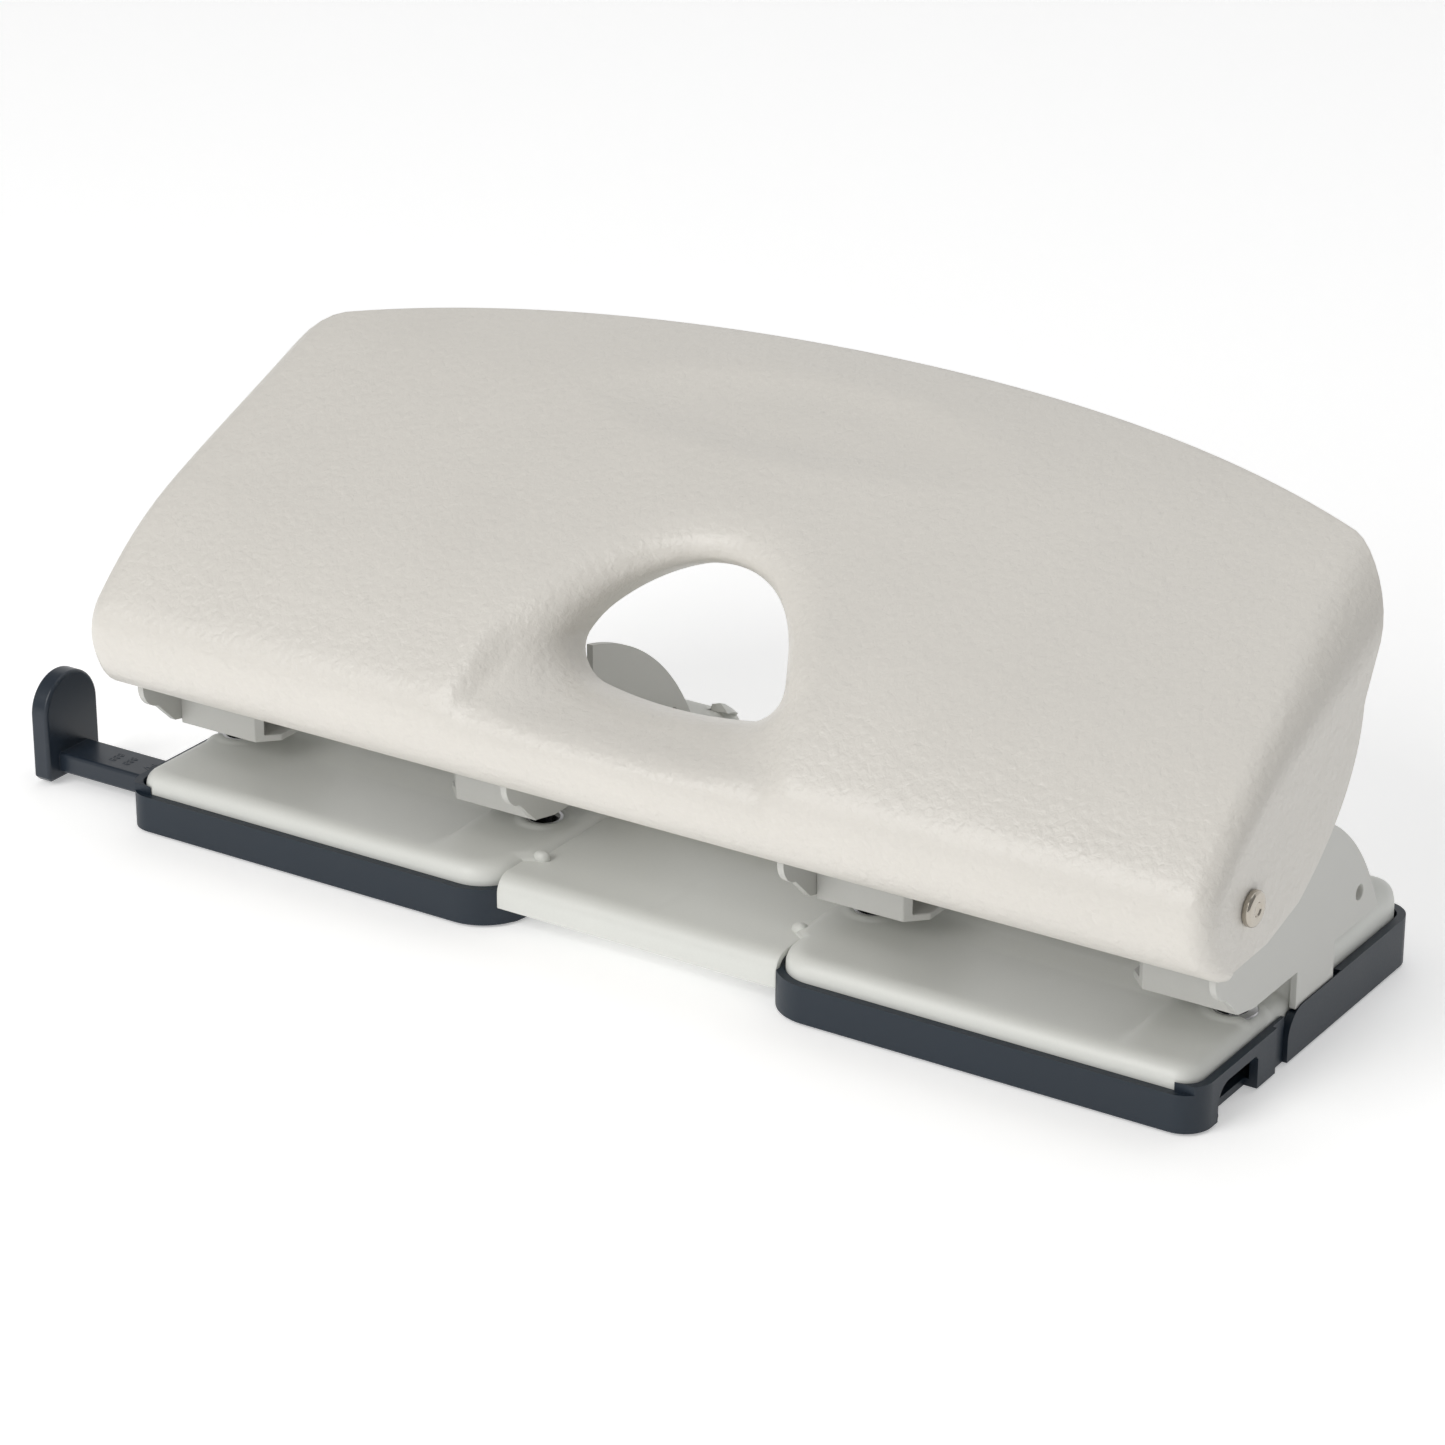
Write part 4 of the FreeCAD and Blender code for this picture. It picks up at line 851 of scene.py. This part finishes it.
@dataclass
class BasePlate:
    """One pressed base plate: rolled edges, paper stop, recess and raised die rings."""

    side: str
    x0: float = 30.5
    x1: float = 126.5
    y0: float = -44.4
    y1: float = 44.4
    top: float = 13.0
    rise: float = 5.5
    roll: float = 3.6
    span: float = 7.0
    margin: float = 6.0
    holes: Tuple[float, float] = PUNCHES_X[2:]
    hole_y: float = PUNCHES_Y
    hole_r: float = 3.5
    ring: float = 0.55
    recess: float = 2.0
    step: Point2 = (-5.6, -2.6)

    @property
    def sign(self) -> int:
        """-1 on the left, 1 on the right."""
        return -1 if self.side == "left" else 1

    def height(self, x: float, y: float) -> float:
        """Height of the plate's face before its edges roll down."""
        z = self.top + self.rise * smooth(y, *self.step)
        along = x if self.sign > 0 else self.holes[0] + self.holes[1] - x
        crease = 107.6 + 0.004 * (y + 24.0) ** 2
        right = 1.0 - smooth(along, crease - 0.9, crease + 0.7)
        left = smooth(along, 48.0, 66.0)
        fade = smooth(y, -44.0, -24.0) * (1.0 - smooth(y, -17.0, -11.5))
        z -= self.recess * left * right * fade
        for hole in self.holes:
            r = math.hypot(x - hole, y - self.hole_y)
            z += self.ring * (1.0 - smooth(r, 4.8, 6.4))
            z -= 0.5 * (1.0 - smooth(r, self.hole_r - 0.2, self.hole_r + 0.9))
        return z

    def edge(self, u: float, v: float, lines: Tuple[float, float, float, float]) -> Edge:
        """Outline point and outward direction for a point of the inner rectangle.

        Args:
            u: X of the rectangle's point.
            v: Its Y.
            lines: Low and high X, then low and high Y, of the rectangle.

        Returns:
            The point on the outline and the direction.
        """
        u0, u1, v0, v1 = lines
        corners = (
            (u1, v0, self.x1 - 5.0, self.y0 + 5.0, 5.0, 315.0),
            (u1, v1, self.x1 - 5.0, self.y1 - 5.0, 5.0, 45.0),
            (u0, v1, self.x0 + 1.2, self.y1 - 1.2, 1.2, 135.0),
            (u0, v0, 41.8, -35.4, 9.0, 225.0),
        )
        for cu, cv, ox, oy, r, middle in corners:
            along_u, along_v = abs(u - cu), abs(v - cv)
            if max(along_u, along_v) >= self.span:
                continue
            level = along_v < 1e-6
            sx = 1.0 if cu == u1 else -1.0
            sy = 1.0 if cv == v1 else -1.0
            straight = self.span + (sx * (ox - cu) if level else sy * (oy - cv))
            half_arc = r * math.pi / 4
            reach = max(along_u, along_v) / self.span * (straight + half_arc)
            if reach < half_arc:
                turn = math.degrees(reach / r) * (sx * sy if level else -sx * sy)
                a = math.radians(middle + turn)
                return (ox + r * math.cos(a), oy + r * math.sin(a)), (math.cos(a), math.sin(a))
            rest = reach - half_arc
            if level:
                return (ox - sx * rest, oy + sy * r), (0.0, sy)
            y = oy - sy * rest
            return (self.side_x(y) if sx < 0 else self.x1, y), (sx, 0.0)
        if abs(v - v0) < 1e-6:
            return (u, self.y0), (0.0, -1.0)
        if abs(v - v1) < 1e-6:
            return (u, self.y1), (0.0, 1.0)
        if abs(u - u1) < 1e-6:
            return (self.x1, v), (1.0, 0.0)
        return (self.side_x(v), v), (-1.0, 0.0)

    def side_x(self, y: float) -> float:
        """Inner edge, set back beside the tray at its front."""
        return self.x0 + 2.3 * (1.0 - smooth(y, -34.0, -32.4))

    def pulled(self, x: float, y: float) -> Point2:
        """Plan point with the inner front corner drawn in, so that it stays inside the rounded outline."""
        near = max(0.0, 1.0 - (x - self.x0 - self.margin) / 5.0)
        near *= max(0.0, 1.0 - (y - self.y0 - self.margin) / 5.0)
        return x + 2.8 * near, y + 2.2 * near

    def lift(self, x: float, y: float) -> Vector:
        """Point of the plate's face."""
        x, y = self.pulled(x, y)
        return place(self.sign * x, y, self.height(x, y))

    def build(self) -> Piece:
        """Builds the plate.

        Returns:
            The piece.
        """
        u0, u1, v0, v1 = (self.x0 + self.margin, self.x1 - self.margin, self.y0 + self.margin,
                          self.y1 - self.margin)
        near, far = self.holes
        us = (steps(u0, near + 7.0, 0.5)[:-1] + steps(near + 7.0, far - 7.0, 1.0)[:-1]
              + steps(far - 7.0, u1, 0.5))
        vs = (steps(v0, self.hole_y - 7.0, 0.9)[:-1] + steps(self.hole_y - 7.0, self.hole_y + 7.0, 0.5)[:-1]
              + steps(self.hole_y + 7.0, -2.0, 0.42)[:-1] + steps(-2.0, v1, 1.6))
        sheet = SheetMesh(us, vs, self.lift)
        keys = sheet.around((0, len(us) - 1, 0, len(vs) - 1))
        sheet.fill()
        edges = [self.edge(us[i], vs[j], (u0, u1, v0, v1)) for i, j in keys]
        plan = [self.pulled(us[i], vs[j]) for i, j in keys]
        loops = [[self._toward(p, e, k / 4) for p, e in zip(plan, edges)] for k in range(1, 4)]
        loops += [[self._rolled(e, math.radians(90 * k / 7)) for e in edges] for k in range(8)]
        loops += [[self._skirt(e, share) for e in edges] for share in (0.35, 1.0)]
        sheet.rings(keys, loops)
        made = sheet.finish("plate_" + self.side, 1.2, 0.0)
        self._bore(made)
        return Piece(made, "frame", BASE_PAINT, ("base_plate_" + self.side,))

    def _roll_at(self, y: float) -> float:
        """Radius of the rolled edge, larger at the rear."""
        return lerp(self.roll, 4.6, smooth(y, 5.0, 30.0))

    def _at(self, edge: Edge, offset: float) -> Point2:
        """Point that far inside the outline."""
        (x, y), (nx, ny) = edge
        return x - nx * offset, y - ny * offset

    def _toward(self, p: Point2, edge: Edge, t: float) -> Vector:
        """Point between the inner rectangle and the start of the roll."""
        q = self._at(edge, self._roll_at(edge[0][1]))
        x, y = lerp(p[0], q[0], t), lerp(p[1], q[1], t)
        return place(self.sign * x, y, self.height(x, y))

    def _rolled(self, edge: Edge, turn: float) -> Vector:
        """Point on the rolled edge."""
        r = self._roll_at(edge[0][1])
        x, y = self._at(edge, r * (1 - math.sin(turn)))
        return place(self.sign * x, y, self.height(*self._at(edge, r)) - r * (1 - math.cos(turn)))

    def _skirt(self, edge: Edge, share: float) -> Vector:
        """Point on the upright rim below the roll."""
        r = self._roll_at(edge[0][1])
        (x, y), (nx, _) = edge
        z = self.height(*self._at(edge, r)) - r
        inner_side = nx < -0.9 and y > -33.0
        bottom = min(z - 0.2, 10.2 + self.rise * smooth(y, *self.step)) if inner_side else 6.2
        return place(self.sign * x, y, lerp(z, bottom, share))

    def _bore(self, plate: bpy.types.Object) -> None:
        """Cuts the die holes straight through the plate."""
        for hole in self.holes:
            bm = bmesh.new()
            bmesh.ops.create_cone(bm, cap_ends=True, segments=64, radius1=self.hole_r * MM,
                                  radius2=self.hole_r * MM, depth=12.0 * MM)
            bmesh.ops.translate(bm, verts=bm.verts, vec=place(self.sign * hole, self.hole_y, self.top))
            cutter = from_bmesh("bore", bm)
            modify(plate, "BOOLEAN", operation="DIFFERENCE", solver="EXACT", object=cutter)
            bake(plate)
            bpy.data.meshes.remove(cutter.data)
        shade(plate, 40)


@dataclass
class Bridge:
    """Plate between the two base plates, with rolled front and rear edges and a faint crease."""

    half: float = 33.6
    top: float = 11.5
    rise: float = 5.5
    front: float = -42.9
    rear: float = 42.9
    roll: float = 4.0
    drop: float = 4.4

    def runs(self) -> Tuple[float, float, float, float, float]:
        """Lengths of the front skirt, front roll, face, rear roll and rear skirt."""
        bend = self.roll * math.pi / 2
        skirt = self.top - self.roll - self.drop
        return skirt, bend, self.rear - self.front - 2 * self.roll, bend, skirt + self.rise

    def lift(self, x: float, s: float) -> Vector:
        """Point of the bridge: s runs from the front skirt's edge to the rear skirt's."""
        skirt, bend, flat, _, rear_skirt = self.runs()
        if s < skirt:
            return place(x, self.front, self.drop + s)
        s -= skirt
        if s < bend:
            a = s / self.roll
            return place(x, self.front + self.roll * (1 - math.cos(a)),
                         self.top - self.roll * (1 - math.sin(a)))
        s -= bend
        if s < flat:
            y = self.front + self.roll + s
            return place(x, y, self.face_z(x, y))
        s -= flat
        if s < bend:
            a = s / self.roll
            return place(x, self.rear - self.roll * (1 - math.sin(a)),
                         self.top + self.rise - self.roll * (1 - math.cos(a)))
        s = min(s - bend, rear_skirt)
        return place(x, self.rear, self.top + self.rise - self.roll - s)

    def face_z(self, x: float, y: float) -> float:
        """Height of the face, with its step, its faint crease and the slight lift beside the crease."""
        z = self.top + self.rise * smooth(y, -4.4, -1.4)
        crease = math.exp(-((x - 2.0 - 0.06 * (y + 31.0)) / 0.7) ** 2)
        z -= 0.22 * crease * smooth(y, -41.0, -36.0) * (1.0 - smooth(y, -26.0, -20.0))
        return z + 0.25 * smooth(x, 1.5, 14.0) * (1.0 - smooth(y, -12.0, -5.0)) * smooth(y, -41.0, -30.0)

    def build(self) -> Piece:
        """Builds the bridge.

        Returns:
            The piece.
        """
        vs: List[float] = [0.0]
        for run, gap in zip(self.runs(), (1.0, 0.6, 0.8, 0.6, 1.0)):
            vs += steps(vs[-1], vs[-1] + run, gap)[1:]
        sheet = SheetMesh(steps(-self.half, self.half, 0.7), vs, self.lift)
        sheet.fill()
        made = sheet.finish("bridge_shell", 1.4, 0.25)
        return Piece(made, "frame", BASE_PAINT, ("bridge_plate",))


# ------------------------------------------------------------------------------ softened CAD parts


@dataclass(frozen=True)
class SoftCopy:
    """A CAD node shown as a copy with its edges rounded.

    Attributes:
        node: CAD node it stands for.
        body: Body it rides on.
        finish: Its finish.
        radius: Edge rounding in millimetres.
    """

    node: str
    body: str
    finish: Finish
    radius: float

    def build(self) -> Piece:
        """Builds the copy.

        Returns:
            The piece.
        """
        bm = bmesh.new()
        bm.from_mesh(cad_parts[self.node].data)
        bmesh.ops.remove_doubles(bm, verts=bm.verts, dist=0.002 * MM)
        outward(bm)
        bmesh.ops.dissolve_limit(bm, angle_limit=math.radians(0.6), verts=bm.verts, edges=bm.edges,
                                 delimit={"NORMAL"})
        made = from_bmesh(self.node + "_soft", bm)
        modify(made, "BEVEL", width=self.radius * MM, segments=3, limit_method="ANGLE",
               angle_limit=math.radians(28), miter_outer="MITER_ARC", use_clamp_overlap=True)
        modify(made, "WEIGHTED_NORMAL", keep_sharp=True, weight=60)
        made.data.shade_smooth()
        bake(made)
        return Piece(made, self.body, self.finish, (self.node,))


# What each node's name starts with, the body that it rides on, its finish and its rounding.
SIDE_PARTS = (
    ("ear_outer_", "frame", SHADED_FRAME_PAINT, 0.35), ("ear_inner_", "frame", SHADED_FRAME_PAINT, 0.35),
    ("chip_tray_", "frame", TRAY_PLASTIC, 0.55), ("chip_door_", "door_", TRAY_PLASTIC, 0.35),
    ("feet_", "frame", FOOT_RUBBER, 0.2), ("door_rod_", "frame", PUNCH_STEEL, 0.2),
    ("pivot_clip_", "frame", SPRING_STEEL, 0.12), ("pivot_washer_", "frame", PIN_NICKEL, 0.2),
    ("press_channel_", "lever", CHANNEL_STEEL, 0.3),
)
PUNCH_PARTS = (
    ("punch_guide_", "frame", SHADED_FRAME_PAINT, 0.6), ("die_bush_", "frame", PUNCH_STEEL, 0.15),
    ("punch_", "punch_unit_", PUNCH_STEEL, 0.15), ("punch_clip_", "punch_unit_", SPRING_STEEL, 0.15),
)


def soft_copies() -> List[SoftCopy]:
    """Every CAD node that only needs its edges rounded.

    Returns:
        The copies to build.
    """
    copies = []
    for parts, ends in ((SIDE_PARTS, SIDES), (PUNCH_PARTS, ("1", "2", "3", "4"))):
        for end in ends:
            for start, body, finish, radius in parts:
                on = body + end if body.endswith("_") else body
                copies.append(SoftCopy(start + end, on, finish, radius))
    copies.append(SoftCopy("frame_rivets", "frame", PIN_NICKEL, 0.15))
    copies.append(SoftCopy("paper_guide", "paper_guide", GUIDE_PLASTIC, 0.3))
    return copies


# ------------------------------------------------------------------------------ turned and wound parts


@dataclass
class PivotPin:
    """Headed pin of one side, turned about the X axis, with a dimple in its head."""

    side: str
    axis_y: float = -36.0
    axis_z: float = 45.2
    shank_r: float = 2.5
    groove_r: float = 1.8
    inner_x: float = 30.1
    groove_x: float = 31.5
    clip: float = 0.8
    head_x: float = 132.2
    head_r: float = 3.6
    head: float = 1.7
    around: int = 48

    def outline(self) -> List[Point2]:
        """Radius against X, from the inner end to the middle of the head's face."""
        r, h, x = self.head_r, self.head, self.head_x
        line = [(0.0, self.inner_x), (self.shank_r - 0.5, self.inner_x), (self.shank_r, self.inner_x + 0.5),
                (self.shank_r, self.groove_x), (self.groove_r, self.groove_x),
                (self.groove_r, self.groove_x + self.clip), (self.shank_r, self.groove_x + self.clip),
                (self.shank_r, x - 0.15), (r - 0.35, x - 0.15), (r - 0.1, x - 0.05), (r, x + 0.15)]
        line += arc((r - 0.7, x + h - 0.9), 0.7, 0, 90, 6)
        line += [(1.9, x + h - 0.13), (1.5, x + h - 0.2), (1.25, x + h - 0.5), (0.9, x + h - 0.62),
                 (0.0, x + h - 0.66)]
        return line

    def build(self) -> Piece:
        """Builds the pin.

        Returns:
            The piece.
        """
        sign = -1 if self.side == "left" else 1
        bm = bmesh.new()
        rings = []
        for r, x in self.outline():
            if r == 0.0:
                rings.append([bm.verts.new(place(sign * x, self.axis_y, self.axis_z))])
                continue
            circle = arc((self.axis_y, self.axis_z), r, 0, 360, self.around)[:-1]
            rings.append([bm.verts.new(place(sign * x, y, z)) for y, z in circle])
        join(bm, rings)
        outward(bm)
        made = from_bmesh("pin_" + self.side, bm)
        shade(made, 30)
        return Piece(made, "frame", PIN_NICKEL, ("pivot_pin_" + self.side,))


class GeometryTree(Nodes):
    """A Geometry Nodes tree with named inputs."""

    def __init__(self, name: str, sizes: Sequence[Tuple[str, str]]) -> None:
        super().__init__(bpy.data.node_groups.new(name, "GeometryNodeTree"))
        face = self.tree.interface
        for label, side, kind in [("Geometry", "INPUT", "Geometry"), ("Geometry", "OUTPUT", "Geometry")] + [
                (label, "INPUT", kind) for label, kind in sizes]:
            face.new_socket(label, in_out=side, socket_type="NodeSocket" + kind)
        self.start = self.tree.nodes.new("NodeGroupInput").outputs
        self.end = self.tree.nodes.new("NodeGroupOutput").inputs

    def apply(self, obj: bpy.types.Object, values: Dict[str, object]) -> bpy.types.Object:
        """Runs the tree on an object and keeps the result as its mesh.

        Args:
            obj: The object.
            values: Values of the named inputs.

        Returns:
            The object.
        """
        modifier = modify(obj, "NODES", node_group=self.tree)
        for item in self.tree.interface.items_tree:
            if item.in_out == "INPUT" and item.name in values:
                modifier[item.identifier] = values[item.name]
        return bake(obj)


def coil_tree() -> GeometryTree:
    """Geometry Nodes tree of a compression spring with closed ends.

    Returns:
        The tree.
    """
    closed_share = 0.11
    sizes = [(name, "Float") for name in ("Radius", "Wire", "Height", "Turns")]
    tree = GeometryTree("coil", sizes + [("Steps", "Int"), ("Foot", "Vector"), ("Material", "Material")])
    start = tree.start
    wire = start["Wire"]
    spiral = tree.add("GeometryNodeCurveSpiral", {
        "Height": 0.0, "Resolution": start["Steps"], "Rotations": start["Turns"],
        "Start Radius": start["Radius"], "End Radius": start["Radius"]}, "Curve")
    along = tree.add("GeometryNodeSplineParameter", {}, "Factor")
    middle = tree.add("ShaderNodeMapRange", {"From Min": closed_share, "From Max": 1.0 - closed_share,
                                             "Value": along}, "Result")
    free = tree.math("SUBTRACT", start["Height"], tree.math("MULTIPLY", wire, 3.6))
    rise = tree.math("MULTIPLY", middle, free)
    ends = tree.math("MULTIPLY", along, tree.math("MULTIPLY", wire, 1.6))
    lift = tree.math("ADD", tree.math("ADD", rise, ends), wire)
    offset = tree.add("ShaderNodeCombineXYZ", {"Z": lift})
    path = tree.add("GeometryNodeSetPosition", {"Geometry": spiral, "Offset": offset})
    circle = tree.add("GeometryNodeCurvePrimitiveCircle", {"Resolution": 12, "Radius": wire}, "Curve")
    tube = tree.add("GeometryNodeCurveToMesh", {"Curve": path, "Profile Curve": circle, "Fill Caps": True})
    stand = tree.add("GeometryNodeTransform", {"Geometry": tube, "Translation": start["Foot"]})
    real = tree.add("GeometryNodeRealizeInstances", {"Geometry": stand})
    paint = tree.add("GeometryNodeSetMaterial", {"Geometry": real, "Material": start["Material"]})
    tree.feed(tree.end["Geometry"], paint)
    return tree


@dataclass
class ReturnSpring:
    """Coil spring round one punch, built at one fixed length; the real one shortens as the lever goes down.
    """

    number: int
    x: float
    tree: GeometryTree
    y: float = PUNCHES_Y
    foot: float = 28.5
    top: float = 43.65
    radius: float = 3.72
    wire: float = 0.4
    turns: float = 6.5
    stroke: float = 8.644

    def build(self) -> Piece:
        """Builds the spring.

        Returns:
            The piece.
        """
        made = add_object(f"spring_{self.number}", bpy.data.meshes.new(f"spring_{self.number}"))
        self.tree.apply(made, {
            "Radius": self.radius * MM, "Wire": self.wire * MM, "Height": (self.top - self.foot) * MM,
            "Turns": self.turns, "Steps": 40, "Foot": tuple(place(self.x, self.y, self.foot)),
            "Material": MATERIALS.get(SPRING_STEEL),
        })
        shade(made, 60)
        return Piece(made, "frame", SPRING_STEEL, (f"punch_spring_{self.number}",))

    def flatten(self, obj: bpy.types.Object) -> None:
        """Gives the spring its own copy of its mesh."""
        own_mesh(obj)


@dataclass
class Nub:
    """Small rounded lug that stands on a sheet."""

    name: str
    centre: Tuple[float, float, float]
    size: Tuple[float, float, float] = (1.9, 1.4, 1.5)

    def build(self) -> Piece:
        """Builds the lug.

        Returns:
            The piece.
        """
        bm = bmesh.new()
        bmesh.ops.create_uvsphere(bm, u_segments=28, v_segments=16, radius=1.0)
        for vert in bm.verts:
            x, y, z = (c * half for c, half in zip(vert.co, self.size))
            vert.co = place(self.centre[0] + x, self.centre[1] + y, self.centre[2] + z)
        made = from_bmesh(self.name, bm)
        made.data.shade_smooth()
        return Piece(made, "frame", BASE_PAINT)


@dataclass
class GuideMarks:
    """Raised generic marks on the paper guide's bar."""

    top: float = 7.0
    middle_y: float = -30.8
    relief: float = 0.16

    def build(self) -> Piece:
        """Builds the marks as one mesh.

        Returns:
            The piece.
        """
        bm = bmesh.new()
        for text, x, size in (("A4", -134.0, 3.2), ("888", -139.6, 2.7), ("888", -143.4, 2.7)):
            curve = bpy.data.curves.new("mark", "FONT")
            for key, value in (("body", text), ("size", size * MM), ("align_x", "CENTER"),
                               ("align_y", "CENTER"), ("extrude", self.relief * MM / 2)):
                setattr(curve, key, value)
            made = add_object("mark", curve)
            mesh = evaluated(made)
            mesh.transform(Matrix.Translation(place(x, self.middle_y, self.top)) @ Matrix.Rotation(
                math.radians(90), 4, "Z"))
            bm.from_mesh(mesh)
            bpy.data.objects.remove(made)
            bpy.data.meshes.remove(mesh)
        bmesh.ops.remove_doubles(bm, verts=bm.verts, dist=0.002 * MM)
        outward(bm)
        return Piece(from_bmesh("guide_marks", bm), "paper_guide", GUIDE_PLASTIC)


# ------------------------------------------------------------------------------ studio


@dataclass
class Studio:
    """Pale floor, soft light and the camera."""

    target: Vector
    surroundings: float = 0.30
    floor_glow: float = 0.36
    lens: float = 116.4
    eye: Tuple[float, float, float] = (0.48609, -0.73377, 0.41529)
    look: Tuple[float, float, float] = (-0.5018, 0.7688, -0.3963)

    def build(self) -> None:
        """Adds the stage, lights and camera."""
        self._world()
        self._floor()
        self._lamp("key", (-0.40, -1.20, 0.95), 0.9, 11.2, (1.0, 0.99, 0.975))
        self._lamp("top", (-0.05, 0.30, 1.40), 1.2, 3.3, (0.98, 0.99, 1.0))
        self._lamp("low", (-0.10, -1.40, 0.22), 0.8, 1.6, (1.0, 1.0, 1.0))
        self._camera()
        self._tone()

    def _world(self) -> None:
        """Even white surroundings."""
        world = bpy.data.worlds.new("surroundings")
        world.use_nodes = True
        back = world.node_tree.nodes["Background"]
        back.inputs["Color"].default_value = (1.0, 1.0, 1.0, 1.0)
        back.inputs["Strength"].default_value = self.surroundings
        bpy.context.scene.world = world

    def _floor(self) -> None:
        """Wide pale floor that curves up far behind."""
        bm = bmesh.new()
        line = [(-3.0, 0.0)] + arc((2.2, 1.5), 1.5, 270, 360, 12) + [(3.7, 5.0)]
        rows = [[bm.verts.new((x, y, z)) for y, z in line] for x in (-5.0, 5.0)]
        for k in range(len(line) - 1):
            bm.faces.new([rows[0][k], rows[1][k], rows[1][k + 1], rows[0][k + 1]])
        floor = from_bmesh("floor", bm)
        mesh = floor.data
        mesh.shade_smooth()
        finish = Finish("floor_paper", Grain.BACKDROP, (0.93, 0.93, 0.93), 0.7, mottle=0.004)
        paper = MATERIALS.get(finish)
        shader = paper.node_tree.nodes["Principled BSDF"]
        shader.inputs["Emission Color"].default_value = (1.0, 1.0, 1.0, 1.0)
        shader.inputs["Emission Strength"].default_value = self.floor_glow
        mesh.materials.append(paper)

    def _lamp(self, name: str, where: Tuple[float, float, float], size: float, power: float,
              color: Tuple[float, float, float]) -> None:
        """One square soft light that looks at the object."""
        lamp = bpy.data.lights.new(name, "AREA")
        lamp.shape = "SQUARE"
        lamp.size = size
        lamp.energy = power
        lamp.color = color
        self._aim(add_object(name, lamp), where, self.target - Vector(where))

    def _aim(self, made: bpy.types.Object, where: Sequence[float], along: Vector) -> None:
        """Puts a lamp or camera in its place and turns it to look along a direction."""
        made.location = where
        made.rotation_euler = along.to_track_quat("-Z", "Y").to_euler()

    def _tone(self) -> None:
        """Plain display colours, so that pale paint stays pale."""
        bpy.context.scene.view_settings.view_transform = "Standard"

    def _camera(self) -> None:
        """Camera before the object, to its right and above it."""
        data = bpy.data.cameras.new("camera")
        data.sensor_width = 36.0
        data.lens = self.lens
        data.clip_start = 0.01
        made = add_object("camera", data)
        self._aim(made, self.eye, Vector(self.look))
        bpy.context.scene.camera = made


# ------------------------------------------------------------------------------ assembly


def main() -> None:
    """Builds the whole scene."""
    pieces: List[Piece] = [LeverCover().build(), Bridge().build()]
    pieces += [BasePlate(side).build() for side in SIDES]
    pieces += [PivotPin(side).build() for side in SIDES]
    pieces += [copy.build() for copy in soft_copies()]
    pieces.append(GuideMarks().build())
    for side, x, y in (("left", -30.6, -31.0), ("right", 31.6, -30.6)):
        pieces.append(Nub("nub_" + side, (x, y, 11.9)).build())
    for piece in pieces:
        piece.attach()
    coil = coil_tree()
    for number, x in enumerate(PUNCHES_X, start=1):
        spring = ReturnSpring(number, x, coil)
        spring.flatten(spring.build().attach())
    Studio(Vector((0.0, 0.0, 0.05))).build()
    bpy.context.view_layer.update()


if __name__ == "__main__":
    main()
